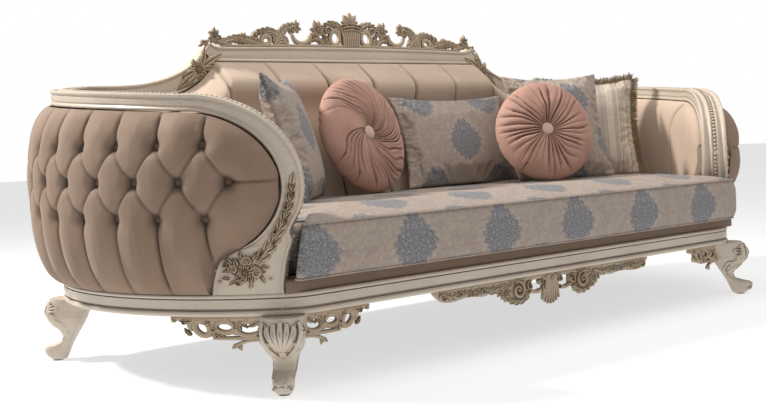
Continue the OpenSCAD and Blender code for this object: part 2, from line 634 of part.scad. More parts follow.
// Cresting: scrolls and leaves that rise to a palmette in the middle
crest_half = 600;
module above_arch() difference() {
    children();
    polygon(concat([[top_rail_half, -crest_h], [-top_rail_half, -crest_h]],
        backwards([for (x = rail_places) [x, rail_arch(x)]])));
}
module crest_outline() {
    for (side = [1, -1]) scale([side, 1]) {
        translate([0, -1]) square([crest_half - 40, 16]);
        for (i = [0:8]) translate([196 + 44 * i, 24 + 10 * sin(70 * i)])
            ring(30 - i * 0.9, 11);
        translate([84, 34]) ring(38, 17);
        translate([140, 40]) circle(r = 26);
        for (i = [0:5]) translate([120 + 78 * i, 32]) rotate(34 - 4 * i) leaf(74 - 2 * i, 22);
        translate([crest_half - 48, 33]) leaf(112, 26);
        translate([36, 44]) rotate(52) leaf(64, 22);
    }
    translate([0, 20]) rotate(90) leaf_fan(5, 84, crest_h - 22, 30);
    translate([0, 6]) rotate(90) leaf(crest_h, 34);
    translate([-13, -1]) square([26, 50]);
}
module crest_relief() {
    for (side = [1, -1]) scale([side, 1]) {
        for (i = [0:8]) translate([196 + 44 * i, 24 + 10 * sin(70 * i)])
            ring(27 - i * 0.9, 5);
        translate([84, 34]) ring(34, 7);
        for (i = [0:5]) translate([128 + 78 * i, 36]) rotate(34 - 4 * i) leaf(58 - 2 * i, 9);
    }
    translate([0, 24]) rotate(90) leaf_fan(5, 78, crest_h - 46, 11);
    translate([0, 28]) circle(r = 10);
}
crest_in = 26;
module crest_carving() color(ivory)
    translate([0, back_y - crest_in, back_h + fit]) rotate([90, 0, 0]) {
        linear_extrude(carving_t) above_arch() crest_outline();
        translate([0, 0, -4]) linear_extrude(carving_t + 8) above_arch() crest_relief();
    }

// Flower and leaves on the foot of each shoulder
module shoulder_relief(step) {
    circle(r = 10 - step * 3);
    for (i = [0:5]) rotate(60 * i) translate([6, 0]) leaf(25 - step * 5, 16 - step * 6);
    rotate(2) translate([20, 0]) leaf(92 - step * 12, 24 - step * 9);
    rotate(-16) translate([18, -4]) leaf(60 - step * 10, 18 - step * 8);
    rotate(186) translate([20, 0]) leaf(84 - step * 12, 22 - step * 8);
    rotate(168) translate([20, 0]) leaf(50 - step * 8, 18 - step * 7);
}
// It lies along the shoulder's lower edge, carve_up square above it
carve_x = top_rail_half + 52;
carve_run = 60;
carve_up = 29.3;
carve_turn = atan2(shoulder_low(carve_x - carve_run) - shoulder_low(carve_x + carve_run),
    -2 * carve_run);
module shoulder_carving(side) color(ivory) right_or_left(side)
    translate([carve_x, back_y - back_t, shoulder_low(carve_x) - carve_up / cos(carve_turn)])
        rotate([90, 0, 0]) for (step = [0, 1])
            linear_extrude(8 + 5 * step) rotate(carve_turn) shoulder_relief(step);

// Inside the back: stiles, a lower tacking rail and webbing
stile_w = 55;
stile_t = 40;
stile_x = top_rail_half + 40;
cover_t = 8;
module back_stiles() color(wood) for (side = [1, -1]) {
    x = side > 0 ? stile_x - stile_w / 2 : -stile_x - stile_w / 2;
    translate([x, back_y - cover_t - fit - stile_t, rail_top])
        cube([stile_w, stile_t, shoulder_low(stile_x + stile_w / 2) - rail_top - 1]);
}
tack_h = 50;
tack_z = rail_top + deck_h + 20;
module back_tacking_rail() color(wood)
    translate([-stile_x + stile_w / 2, back_y - cover_t - fit - stile_t, tack_z])
        cube([2 * stile_x - stile_w, stile_t, tack_h]);
back_web_count = 7;
module back_webbing() color(wood)
    for (i = [0:back_web_count - 1]) {
        x = mixed(-stile_x + 110, stile_x - 110, i / (back_web_count - 1));
        translate([x - web_w / 2, back_y - cover_t - fit - stile_t - web_t, tack_z])
            cube([web_w, web_t, back_h - top_rail_h - tack_z - 1]);
    }

// Back pad: its face leans back above the seat and is sewn into upright channels
channel_w = 2 * top_rail_half / channels;
pad_half = rear_c.x + 42;
pad_rear = back_y - cover_t - stile_t - web_t - 3 * fit;
function pad_high(x) = abs(x) < top_rail_half - 12
    ? back_h - top_rail_h - pad_fit
    : shoulder_low(min(abs(x), rear_c.x)) - pad_fit;
function pad_back(x) = abs(x) < rear_c.x ? pad_rear
    : min(pad_rear, rear_c.y + sqrt(pow(rear_r - arm_t - 4, 2) - pow(abs(x) - rear_c.x, 2)));
function pad_face(x, z, v) = back_y - pad_depth + tan(rake) * max(0, z - seat_top)
    - back_swell * (0.25 + 0.75 * channel_dip(x / channel_w))
        * pow(1 - pow(max(0, 2 * v - 1), 4), 0.6)
    + 26 * pow(max(0, v - 0.9) * 10, 2);
pad_places = concat([-pad_half],
    [for (i = [-5 * channels:5 * channels]) let (x = i * channel_w / 5)
        if (abs(x) < pad_half - 14) x],
    [pad_half]);
module back_pad() color(blush)
    loft([for (x = backwards(pad_places)) let (low = deck_top + fit, high = pad_high(x)) concat(
        [[x, pad_back(x), high], [x, pad_back(x), low]],
        [for (v = [0, 0.16, 0.32, 0.5, 0.68, 0.84, 0.94, 1])
            [x, min(pad_back(x) - 6, pad_face(x, mixed(low, high, v), v)), mixed(low, high, v)]])]);
module back_outer_cover() color(taupe)
    translate([0, back_y, 0]) rotate([90, 0, 0]) linear_extrude(cover_t) polygon(concat(
        [[-rear_c.x + 2, rail_top], [rear_c.x - 2, rail_top]],
        [for (x = [rear_c.x - 2:-40:top_rail_half - 12]) [x, shoulder_low(x) - 2]],
        [for (x = [top_rail_half - 30:-60:-top_rail_half + 30]) [x, back_h - top_rail_h - 1]],
        [for (x = [-top_rail_half + 12:-40:-rear_c.x + 2]) [x, shoulder_low(-x) - 2]]));

// Pillows lean back on the seat. Each is set out by its middle's place along the sofa, its distance
// in front of the back pad's foot, and its turn about the upright
lean = rake;
damask_left_at = [-533, 160, 45];
round_left_at = [-196, 95, 13];
lumbar_at = [296, 42, 0];
round_right_at = [512, 292, -25];
damask_right_at = [672, 220, -18];
striped_at = [890, 182, -42];
module lean_at(spot, height)
    translate([spot.x, back_y - pad_depth - spot.y, sit_z + fit + height / 2 * cos(lean)])
        rotate([0, 0, spot.z]) rotate([-lean, 0, 0]) children();
function pinch(v) = 1 - 0.06 * (1 - v * v);
function pillow_points(w, h, t, n, top) = [for (i = [0:n]) for (j = [0:n])
    let (u = sin(90 * (2 * i / n - 1)), v = sin(90 * (2 * j / n - 1)),
        rise = pow(max(0, (1 - u * u) * (1 - v * v)), 0.42))
    [w / 2 * u * pinch(v), top * (2 + (t / 2 - 2) * rise), h / 2 * v * pinch(u)]];
// Square pillow: two quilted faces joined along a 4 mm seam
module square_pillow(w, h, t, n = 8) {
    m = n + 1;
    total = m * m;
    edge = concat([for (i = [0:n - 1]) i * m], [for (j = [0:n - 1]) n * m + j],
        [for (i = [n:-1:1]) i * m + n], [for (j = [n:-1:1]) j]);
    polyhedron(
        points = concat(pillow_points(w, h, t, n, -1), pillow_points(w, h, t, n, 1)),
        faces = concat(
            [for (i = [0:n - 1]) for (j = [0:n - 1]) let (a = i * m + j)
                each [[a, a + 1, a + m], [a + 1, a + m + 1, a + m]]],
            [for (i = [0:n - 1]) for (j = [0:n - 1]) let (a = total + i * m + j)
                each [[a, a + m, a + 1], [a + 1, a + m, a + m + 1]]],
            [for (k = [0:len(edge) - 1]) let (a = edge[k], b = edge[(k + 1) % len(edge)])
                each [[a, b, b + total], [a, b + total, a + total]]]),
        convexity = 4);
}
// Round pillow: pleats run from the button in the middle to the rim on both faces
pleats = 16;
function round_ring(k, t, side, d) = [for (i = [0:2 * pleats - 1])
    let (a = 180 * i / pleats, r = d / 2 * k[0], fold = i % 2 == 0 ? 1 : 1 - k[2])
    [r * cos(a), side * t / 2 * k[1] * fold, r * sin(a)]];
round_rings = [[0.08, 0.62, 0], [0.3, 0.92, 0.1], [0.6, 0.98, 0.1], [0.85, 0.72, 0.1],
    [0.97, 0.36, 0]];
module round_pillow(d, t)
    loft(concat([for (i = [0:4]) round_ring(round_rings[i], t, 1, d)],
        [for (i = [4:-1:0]) round_ring(round_rings[i], t, -1, d)]));
fringe_t = 3;
module fringe(w, h) {
    n = 8;
    spots = concat([for (i = [0:n - 1]) [i * 2 / n - 1, -1]],
        [for (i = [0:n - 1]) [1, i * 2 / n - 1]],
        [for (i = [0:n - 1]) [1 - i * 2 / n, 1]], [for (i = [0:n - 1]) [-1, 1 - i * 2 / n]]);
    inner = [for (s = spots) let (u = sin(90 * s.x), v = sin(90 * s.y))
        [w / 2 * u * pinch(v), h / 2 * v * pinch(u)]];
    outer = [for (p = inner) p + fringe_w
        * [sign(round(p.x / w * 2.4)), max(0, sign(round(p.y / h * 2.4)))]];
    rotate([90, 0, 0]) translate([0, 0, -fringe_t / 2]) linear_extrude(fringe_t) difference() {
        polygon(outer);
        polygon([for (p = inner) p * (1 + fit / 200)]);
    }
}
// Button in the front face, sunk into the pleats
button_cap = 14;
button_cap_h = 9;
button_sink = 5;
module round_button() rotate([90, 0, 0])
    translate([0, 0, round_t / 2 * round_rings[0][1] - button_sink])
        cylinder(r = button_cap, h = button_cap_h);

front_rail();
end_rail(-1);  // end_rail_left
end_rail(1);  // end_rail_right
back_rail();
cross_rails();
corner_blocks();
leg(-1, 0, true);  // leg_front_left
leg(1, 0, true);  // leg_front_right
leg(-1, 1, false);  // leg_rear_left
leg(1, 1, false);  // leg_rear_right
foot_glides();
leg_bolts();
bracket(-1);  // bracket_left
bracket(1);  // bracket_right
apron_carving();
seat_webbing_long();
seat_webbing_cross();
dust_cover();
seat_deck();
seat_cushion();
arm_post(-1);  // arm_post_left
arm_post(1);  // arm_post_right
arm_rail(-1);  // arm_rail_left
arm_rail(1);  // arm_rail_right
arm_uprights(-1);  // arm_uprights_left
arm_uprights(1);  // arm_uprights_right
arm_hessian(-1);  // arm_hessian_left
arm_hessian(1);  // arm_hessian_right
arm_outer_pad(-1);  // arm_outer_pad_left
arm_outer_pad(1);  // arm_outer_pad_right
arm_inner_pad(-1);  // arm_inner_pad_left
arm_inner_pad(1);  // arm_inner_pad_right
tufting_buttons(-1);  // tufting_buttons_left
tufting_buttons(1);  // tufting_buttons_right
post_carving(-1);  // post_carving_left
post_carving(1);  // post_carving_right
back_top_rail();
back_shoulder(-1);  // back_shoulder_left
back_shoulder(1);  // back_shoulder_right
shoulder_carving(-1);  // shoulder_carving_left
shoulder_carving(1);  // shoulder_carving_right
crest_carving();
back_stiles();
back_tacking_rail();
back_webbing();
back_pad();
back_outer_cover();
color(damask)  // damask_pillow_left
    lean_at(damask_left_at, square_w) square_pillow(square_w, square_w, square_t);
color(pink)  // round_pillow_left
    lean_at(round_left_at, round_d) round_pillow(round_d, round_t);
color(damask)  // lumbar_pillow
    lean_at(lumbar_at, lumbar_h) square_pillow(lumbar_w, lumbar_h, lumbar_t);
color(pink)  // round_pillow_right
    lean_at(round_right_at, round_d) round_pillow(round_d, round_t);
color(damask)  // damask_pillow_right
    lean_at(damask_right_at, square_w) square_pillow(square_w, square_w, square_t);
color(damask)  // striped_pillow
    lean_at(striped_at, striped_w) square_pillow(striped_w, striped_w, square_t);
color(pink)  // round_button_left
    lean_at(round_left_at, round_d) round_button();
color(pink)  // round_button_right
    lean_at(round_right_at, round_d) round_button();
color(cloth_brown)  // pillow_fringe
    lean_at(striped_at, striped_w) fringe(striped_w, striped_w);
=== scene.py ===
import json
from math import acos, asin, atan2, copysign, cos, degrees, exp, floor, hypot, pi, radians, sin, sqrt, tan
import random
import bmesh
import bpy
from mathutils import Matrix, Vector
from mathutils import noise as fuzz


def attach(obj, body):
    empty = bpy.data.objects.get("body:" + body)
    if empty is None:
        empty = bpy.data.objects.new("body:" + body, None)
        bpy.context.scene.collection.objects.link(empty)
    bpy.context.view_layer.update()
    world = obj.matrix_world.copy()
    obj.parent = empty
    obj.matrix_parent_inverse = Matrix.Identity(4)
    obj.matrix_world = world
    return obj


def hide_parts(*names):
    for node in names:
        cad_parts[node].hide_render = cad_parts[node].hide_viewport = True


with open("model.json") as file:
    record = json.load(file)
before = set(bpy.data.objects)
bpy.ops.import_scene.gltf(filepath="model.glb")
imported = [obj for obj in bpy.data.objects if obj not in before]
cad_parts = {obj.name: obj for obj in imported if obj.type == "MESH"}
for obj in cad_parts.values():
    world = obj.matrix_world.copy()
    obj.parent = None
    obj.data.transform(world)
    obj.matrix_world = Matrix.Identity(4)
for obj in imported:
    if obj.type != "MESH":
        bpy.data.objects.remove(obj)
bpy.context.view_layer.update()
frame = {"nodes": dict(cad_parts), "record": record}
sides = ((-1, "left"), (1, "right"))

# Plan of the sofa: a straight front, round front corners, bowed ends, round rear corners, straight back.
# wall(q, r) is the point q metres behind the front corner along the bowed end, and r outside the rail's face.
plan = {
    "length": 2.524, "depth": 1.0, "cornerRadius": 0.13, "cornerAngle": 42.5, "endRadius": 0.8, "rearRadius": 0.16,
    "middleY": 0.002}


def turn(angle):
    return Vector((sin(radians(angle)), -cos(radians(angle))))


frontY = plan["middleY"] - plan["depth"] / 2
backY = plan["middleY"] + plan["depth"] / 2
endReach = plan["endRadius"] - plan["cornerRadius"]
cornerCentre = Vector((plan["length"] / 2 - plan["endRadius"]
                       + endReach * sin(radians(plan["cornerAngle"])),
                       frontY + plan["cornerRadius"]))
endCentre = cornerCentre - endReach * turn(plan["cornerAngle"])
rearReach = plan["endRadius"] - plan["rearRadius"]
rearAngle = degrees(acos(-(backY - plan["rearRadius"] - endCentre.y) / rearReach))
rearCentre = endCentre + rearReach * turn(rearAngle)
endLength = radians(rearAngle - plan["cornerAngle"]) * plan["endRadius"]
turnLength = radians(180 - rearAngle) * plan["rearRadius"]
backQ = endLength + turnLength


def heading(q):
    if q < endLength:
        return plan["cornerAngle"] + degrees(q / plan["endRadius"])
    if q < backQ:
        return rearAngle + degrees((q - endLength) / plan["rearRadius"])
    return 180.0


def wall(q, r):
    if q < endLength:
        return endCentre + (plan["endRadius"] + r) * turn(heading(q))
    if q < backQ:
        return rearCentre + (plan["rearRadius"] + r) * turn(heading(q))
    return Vector((rearCentre.x - (q - backQ), backY + r))


def onWall(q, r, z, side=1):
    p = wall(q, r)
    return Vector((p.x * side, p.y, z))


def mixed(a, b, t):
    return a + (b - a) * t


def share(value):  # held between 0 and 1
    return min(1.0, max(0.0, value))


def along(values, t):  # value at t, 0 to 1, in a list of evenly spaced stops
    place = share(t) * (len(values) - 1)
    i = min(int(place), len(values) - 2)
    return mixed(values[i], values[i + 1], place - i)


# Heights that the pieces share
rise = {
    "rail": 0.194, "railTop": 0.252, "deck": 0.284, "seat": 0.2845, "seatTop": 0.4315, "sit": 0.4515}
arm = {
    "height": 0.775, "slope": 0.07, "band": 0.045, "thick": 0.085, "noseOut": 0.071, "noseWidth": 0.057,
    "noseZ": 0.53, "noseQ": 0.26, "footQ": 0.184, "footHeight": 0.119, "footRound": 0.084}
noseIn = arm["noseQ"] + arm["noseOut"] - arm["noseWidth"]
back = {"height": 0.974, "railHeight": 0.048, "halfRail": 0.618, "thick": 0.055, "arch": 0.008}
padGap = 0.0025


def armTop(q):
    return arm["height"] + arm["slope"] * max(0.0, q - arm["noseQ"]) / (backQ - arm["noseQ"])


def armLow(q):
    return armTop(q) - arm["band"]


def noseRise(q):
    full = arm["height"] - arm["band"] - arm["noseZ"]
    return full * sqrt(max(0.0, 1 - ((q - arm["noseQ"]) / noseIn) ** 2))


def panelTop(q):
    return arm["noseZ"] + noseRise(q) if q < arm["noseQ"] else armLow(q)


def panelFoot(q):
    if q >= arm["footQ"]:
        return rise["railTop"]
    if q > arm["footQ"] - arm["footRound"]:
        out = (q - arm["footQ"] + arm["footRound"]) / arm["footRound"]
        return rise["railTop"] + arm["footHeight"] * sqrt(1 - out * out)
    return max(rise["railTop"], arm["noseZ"] - noseRise(q))


def padFoot(q):
    return panelFoot(q - padGap) + padGap


def padHead(q):
    return panelTop(q - padGap) - padGap


def shoulderTop(x):
    k = (rearCentre.x - x) / (rearCentre.x - back["halfRail"])
    low = arm["height"] + arm["slope"]
    return low + (back["height"] - low) * k ** 3.4 + 0.018 * k ** 12


def shoulderLow(x):
    k = max(0.0, (rearCentre.x - x) / (rearCentre.x - back["halfRail"] + 0.012))
    low = arm["height"] + arm["slope"] - arm["band"]
    return low + (back["height"] - back["railHeight"] - low) * k ** 5


def railArch(x):
    k = abs(x) / back["halfRail"]
    return back["arch"] * (1 - k * k) + 0.018 * k ** 40


# Shader graphs are written as sums: a Wire is one socket, and its operators add Math nodes
class Wire:
    def __init__(self, finish, socket):
        self.finish = finish
        self.socket = socket

    def clamp(self):
        return self.finish.node("ShaderNodeClamp", {}, Value=self)

    def between(self, low, high):  # 0 below low, 1 above high, smooth in the middle
        return self.finish.node("ShaderNodeMapRange", {"interpolation_type": "SMOOTHSTEP"},
                                Value=self, From_Min=low, From_Max=high)


for sign, operation in (("add", "ADD"), ("sub", "SUBTRACT"), ("mul", "MULTIPLY"), ("truediv", "DIVIDE"),
                        ("pow", "POWER")):
    setattr(Wire, f"__{sign}__", lambda a, b, word=operation: a.finish.maths(word, a, b))
    setattr(Wire, f"__r{sign}__", lambda a, b, word=operation: a.finish.maths(word, b, a))


class Finish:
    def __init__(self, name, slot, roughness=0.6, sheen=0.0, sheenTint=(1, 1, 1), metallic=0.0,
                 sheenRoughness=0.4, coat=0.0):
        self.material = bpy.data.materials.new(name)
        self.material.use_nodes = True
        self.slot = slot
        self.tree = self.material.node_tree
        self.shader = self.tree.nodes["Principled BSDF"]
        self.set("Roughness", roughness)
        self.set("Metallic", metallic)
        self.set("Sheen Weight", sheen)
        self.set("Sheen Roughness", sheenRoughness)
        self.set("Sheen Tint", (*sheenTint, 1))
        self.set("Coat Weight", coat)

    def set(self, name, value):
        if isinstance(value, Wire):
            self.tree.links.new(value.socket, self.shader.inputs[name])
        else:
            self.shader.inputs[name].default_value = value

    def node(self, kind, settings, out=0, **values):
        made = self.tree.nodes.new(kind)
        for key, value in settings.items():
            if key == "stops":
                self.fillRamp(made.color_ramp, value)
            else:
                setattr(made, key, value)
        for key, value in values.items():
            place = int(key[1:]) if key[0] == "i" and key[1:].isdigit() else key.replace("_", " ")
            socket = made.inputs[place]
            if isinstance(value, Wire):
                self.tree.links.new(value.socket, socket)
            elif isinstance(value, tuple) and socket.type == "RGBA":
                socket.default_value = (*value, 1)
            else:
                socket.default_value = value
        return Wire(self, made.outputs[out])

    def fillRamp(self, ramp, stops):
        for i, (place, colour) in enumerate(stops):
            stop = ramp.elements[i] if i < 2 else ramp.elements.new(place)
            stop.position = place
            stop.color = (*colour, 1)

    def maths(self, operation, a, b=0.0):
        return self.node("ShaderNodeMath", {"operation": operation}, i0=a, i1=b)

    def mix(self, amount, a, b):
        return self.node("ShaderNodeMix", {"data_type": "RGBA"}, out=2, i0=amount, i6=a, i7=b)

    def place(self, scale=(1, 1, 1)):  # Object coordinates, scaled
        spot = self.node("ShaderNodeTexCoord", {}, out="Object")
        return self.node("ShaderNodeMapping", {}, Vector=spot, Scale=Vector(scale))

    def cloth(self):  # the piece's own flat cloth, in metres
        return self.node("ShaderNodeUVMap", {"uv_map": "cloth"})

    def parts(self, vector):
        split = self.node("ShaderNodeSeparateXYZ", {}, Vector=vector)
        return [Wire(self, split.socket.node.outputs[i]) for i in range(3)]

    def noise(self, vector, scale, detail=2.0, rough=0.5):
        return self.node("ShaderNodeTexNoise", {}, Vector=vector, Scale=scale, Detail=detail, Roughness=rough)

    def bump(self, height, distance, strength=1.0):
        self.set("Normal", self.node("ShaderNodeBump", {}, Height=height, Distance=distance, Strength=strength))


def paintedWood(name, paint, worn, glaze, reach, strength):  # antique paint with brown glaze left in the recesses
    f = Finish(name, "painted_wood", roughness=0.42, coat=0.12)
    spot = f.place()
    cloudy = f.noise(spot, 5.5, 4).between(0.35, 0.7)
    streaks = f.noise(f.place(scale=(3, 9, 40)), 6, 3).between(0.42, 0.75)
    closed = 1 - f.node("ShaderNodeAmbientOcclusion", {"samples": 8, "only_local": True}, out="AO", Distance=reach)
    crevice = (closed * strength - 0.35).clamp()
    speck = f.noise(spot, 160, 2).between(0.68, 0.74)
    tone = f.mix(cloudy * 0.5 + streaks * 0.3, paint, worn)
    tone = f.mix((crevice * 0.85).clamp(), tone, glaze)
    f.set("Base Color", f.mix(speck * 0.35, tone, glaze))
    f.set("Roughness", 0.36 + 0.18 * cloudy + 0.2 * crevice)
    f.bump(f.noise(f.place(scale=(2, 6, 30)), 22, 4) + f.noise(spot, 240, 2) * 0.3, 0.0006, 0.35)
    return f


def velvet(name, slot, pile, shade, tint, sheen):
    f = Finish(name, slot, roughness=0.82, sheen=sheen, sheenTint=tint, sheenRoughness=0.35)
    spot = f.place()
    brushed = f.noise(f.place(scale=(1, 1, 0.45)), 7, 3, 0.6).between(0.32, 0.72)
    fine = f.noise(spot, 900, 2)
    tone = f.mix(brushed * 0.6, pile, shade)
    # painted shade: hollows found by ambient occlusion, and points with a high kept shade value (dimples, folds and
    # seams), are painted towards a near-black copy of the shade colour
    hollowShade = 1 - f.node("ShaderNodeAmbientOcclusion", {"samples": 8, "only_local": True}, out="AO", Distance=0.03)
    shadeMark = f.node("ShaderNodeAttribute", {"attribute_name": "paintedShade"}, out="Fac")
    tone = f.mix(((hollowShade * 1.5 - 0.25).clamp() * 0.7 + shadeMark).clamp(), tone, tuple(c * 0.22 for c in shade))
    f.set("Base Color", f.mix(fine * 0.22, tone, shade))
    f.set("Roughness", 0.74 + 0.16 * brushed)
    f.bump(fine + f.noise(spot, 60, 3) * 0.6, 0.0006, 0.5)
    return f


def damask():  # beige ground with faint scrolls, blue-grey ogee ornaments in half-drop rows, a fine ribbed weave
    look = {"ground": (0.37, 0.29, 0.235), "pale": (0.50, 0.415, 0.345), "dark": (0.27, 0.205, 0.17),
            "slate": (0.105, 0.108, 0.122), "mist": (0.36, 0.37, 0.385), "stepX": 0.335, "stepY": 0.350,
            "width": 0.082, "height": 0.084}
    f = Finish("damask", "damask_cloth", roughness=0.6, sheen=0.2, sheenRoughness=0.4)
    flat = f.cloth()
    x, y, none = f.parts(flat)
    torn = (f.noise(flat, 150, 2) - 0.5) * 0.16 + (f.noise(flat, 420, 1) - 0.5) * 0.16

    def tile(value, step, shift):  # distance from the nearest ornament's middle, in one direction
        part = f.maths("FRACT", (value + shift) / step)
        return (part - 0.5) * step

    def ornament(shiftX, shiftY):
        u = f.maths("ABSOLUTE", tile(x, look["stepX"], shiftX) / look["width"])
        v = tile(y, look["stepY"], shiftY) / look["height"]
        high = f.maths("ABSOLUTE", v)
        wide = u * (1 + 0.42 * (v + 0.15).between(0.0, 1.0))
        far = (wide ** 1.6 + high ** 1.7) ** 0.62
        angle = f.maths("ARCTAN2", u, v + 0.1)
        lobes = (1 - f.maths("ABSOLUTE", f.maths("SINE", angle * 9.5))) * 0.15
        edge = far + lobes + torn
        body = 1 - edge.between(0.95, 1.04)
        halo = (1 - edge.between(1.12, 1.28)) * f.maths("SINE", angle * 19).between(-0.2, 0.5) - body
        petals = f.maths("SINE", angle * 9.5) * f.maths("SINE", far * 16)
        stem = f.maths("SINE", u * 26) * v.between(-0.2, 0.5)
        return body, halo, (petals + stem * 0.8).between(0.2, 1.0) * body

    first = ornament(look["stepX"] / 2, look["stepY"] / 2)
    second = ornament(look["stepX"], look["stepY"])
    body, halo, lace = (a + b for a, b in zip(first, second))
    vine = (1 - f.maths("ABSOLUTE", f.noise(flat, 42, 1.5) - 0.5) * 15).clamp() * (1 - body)
    gap = (1 - f.maths("ABSOLUTE", f.noise(flat, 61, 1.5) - 0.46) * 17).clamp() * (1 - body)
    mottled = f.noise(flat, 17, 4).between(0.3, 0.72)
    speckle = f.noise(flat, 210, 2.5).between(0.40, 0.62)
    tone = f.mix(mottled * 0.4 + vine * 0.32, look["ground"], look["pale"])
    tone = f.mix(gap * 0.38, tone, look["dark"])
    tone = f.mix(halo.clamp() * 0.5, tone, look["pale"])
    tone = f.mix(body.clamp() * 0.9, tone, look["slate"])
    tone = f.mix((lace * 0.25 + speckle * body * 0.62).clamp(), tone, look["mist"])
    weft = f.noise(flat, 520, 2)
    f.set("Base Color", f.mix(weft.between(0.45, 0.62) * 0.2, tone, look["dark"]))
    f.set("Roughness", 0.7 - 0.2 * (lace + vine).clamp())
    ribs = f.maths("SINE", y * 5200) * 0.35 + f.maths("SINE", x * 5200) * 0.2
    f.bump(ribs + vine * 0.9 + lace * 1.2 + body * 1.2 + weft * 0.6, 0.0007, 0.55)
    return f


def striped():  # upright stripes in cream, taupe and lavender grey
    look = {"repeat": 0.132}
    cream, sand, taupe, lilac = (0.58, 0.49, 0.395), (0.49, 0.405, 0.32), (0.31, 0.245, 0.19), (0.41, 0.345, 0.30)
    f = Finish("stripes", "striped_cloth", roughness=0.6, sheen=0.3)
    flat = f.cloth()
    x, y, none = f.parts(flat)
    ramp = [(0.0, cream), (0.13, lilac), (0.26, cream), (0.31, taupe), (0.335, sand), (0.50, cream),
            (0.60, taupe), (0.63, sand), (0.74, lilac), (0.86, sand), (0.90, taupe), (0.925, cream)]
    band = f.node("ShaderNodeValToRGB", {"stops": ramp}, Fac=f.maths("FRACT", x / look["repeat"] + 0.37))
    band.socket.node.color_ramp.interpolation = "CONSTANT"
    fine = f.noise(flat, 500, 2)
    f.set("Base Color", f.mix(fine * 0.3, band, sand))
    twill = f.maths("SINE", (x + y * 0.6) * 4200)
    f.bump(twill * 0.4 + fine, 0.0005, 0.5)
    return f


def weave(name, slot, light, dark, pitch):
    f = Finish(name, slot, roughness=0.85)
    spot = f.place()
    x, y, z = f.parts(spot)
    turns = 2 * pi / pitch
    over = f.maths("SINE", x * turns) * f.maths("SINE", (y + z) * turns)
    f.set("Base Color", f.mix(over.between(-0.6, 0.6) * 0.6 + f.noise(spot, 60, 3) * 0.4, dark, light))
    f.bump(over, 0.0006, 0.5)
    return f


def bareWood():
    f = Finish("bareBeech", "frame_wood", roughness=0.58)
    grain = f.noise(f.place(scale=(6, 40, 40)), 8, 5, 0.6).between(0.3, 0.75)
    pores = f.noise(f.place(scale=(10, 160, 160)), 9, 2).between(0.6, 0.7)
    tone = f.mix(grain, (0.52, 0.33, 0.18), (0.36, 0.205, 0.10))
    f.set("Base Color", f.mix(pores * 0.5, tone, (0.2, 0.1, 0.05)))
    f.bump(grain + pores, 0.0004, 0.4)
    return f


def plainMetal():
    f = Finish("zincSteel", "steel", roughness=0.35, metallic=1.0)
    blotch = f.noise(f.place(), 90, 3).between(0.35, 0.7)
    f.set("Base Color", f.mix(blotch, (0.62, 0.62, 0.64), (0.48, 0.47, 0.45)))
    f.set("Roughness", 0.28 + 0.2 * blotch)
    return f


def softPlastic():
    f = Finish("brownNylon", "glide", roughness=0.5)
    scuff = f.noise(f.place(), 130, 3).between(0.4, 0.7)
    f.set("Base Color", f.mix(scuff, (0.06, 0.04, 0.03), (0.12, 0.09, 0.07)))
    f.set("Roughness", 0.42 + 0.25 * scuff)
    return f


finishes = {}
paints = {
    "paint": ("antiqueIvory", (0.63, 0.545, 0.445), (0.52, 0.43, 0.335), (0.115, 0.065, 0.035), 0.014, 2.6),
    "carved": ("glazedCarving", (0.49, 0.39, 0.275), (0.35, 0.255, 0.16), (0.085, 0.045, 0.020), 0.020, 2.8)}
weaves = {
    "webbing": ("jute", "webbing", (0.46, 0.33, 0.19), (0.27, 0.18, 0.10), 0.006),
    "lining": ("blackLining", "lining_cloth", (0.035, 0.035, 0.038), (0.015, 0.015, 0.016), 0.003),
    "deck": ("brownDeckCloth", "deck_cloth", (0.27, 0.19, 0.135), (0.17, 0.115, 0.08), 0.0032),
    "yarn": ("fringeYarn", "fringe_yarn", (0.42, 0.33, 0.20), (0.15, 0.10, 0.052), 0.002)}
velvets = {
    "taupe": ("taupe_velvet", (0.285, 0.195, 0.138), (0.22, 0.146, 0.10), (1.0, 0.9, 0.82), 0.13),
    # the taupe velvet at about half its brightness, for the tuft buttons: painted shade for buttons sunk in their
    # dimples
    "shadedTaupe": ("taupe_velvet", (0.15, 0.095, 0.064), (0.10, 0.062, 0.041), (1.0, 0.9, 0.82), 0.15),
    "blush": ("blush_velvet", (0.58, 0.45, 0.35), (0.50, 0.375, 0.285), (1.0, 0.93, 0.86), 0.22),
    "pink": ("pink_velvet", (0.50, 0.29, 0.225), (0.36, 0.19, 0.145), (1.0, 0.88, 0.84), 0.30),
    "paleCap": ("pink_velvet", (0.64, 0.46, 0.39), (0.56, 0.38, 0.32), (1.0, 0.92, 0.88), 0.3)}
finishes.update({key: paintedWood(*row) for key, row in paints.items()})
finishes.update({key: weave(*row) for key, row in weaves.items()})
finishes.update({key: velvet(key + "Velvet", *row) for key, row in velvets.items()})
finishes.update({"wood": bareWood(), "steel": plainMetal(), "glide": softPlastic(), "damask": damask(),
                 "stripes": striped()})
print("finishes made:", len(finishes))

# Every node that came from the frame gets its finish by its slot
spare = ("paleCap", "shadedTaupe", "carved")  # second looks of a slot, for single pieces
slotFinish = {f.slot: f for key, f in finishes.items() if key not in spare}
nodeSlot = {row["node"]: row["material_slot"] for row in frame["record"]["subparts"]}
for name, node in frame["nodes"].items():
    made = slotFinish[nodeSlot[name]].material
    for holder in node.material_slots:
        holder.material = made


def linked(name, data):
    made = bpy.data.objects.new(name, data)
    bpy.context.scene.collection.objects.link(made)
    return made


def meshOf(bm, name):  # the bmesh is used up
    mesh = bpy.data.meshes.new(name)
    bm.to_mesh(mesh)
    bm.free()
    return mesh


def baked(trial):  # what the modifiers of an object make of it; the object is used up
    result = bpy.data.meshes.new_from_object(trial.evaluated_get(bpy.context.evaluated_depsgraph_get()))
    out = bmesh.new()
    out.from_mesh(result)
    bpy.data.objects.remove(trial)
    bpy.data.meshes.remove(result)
    return out


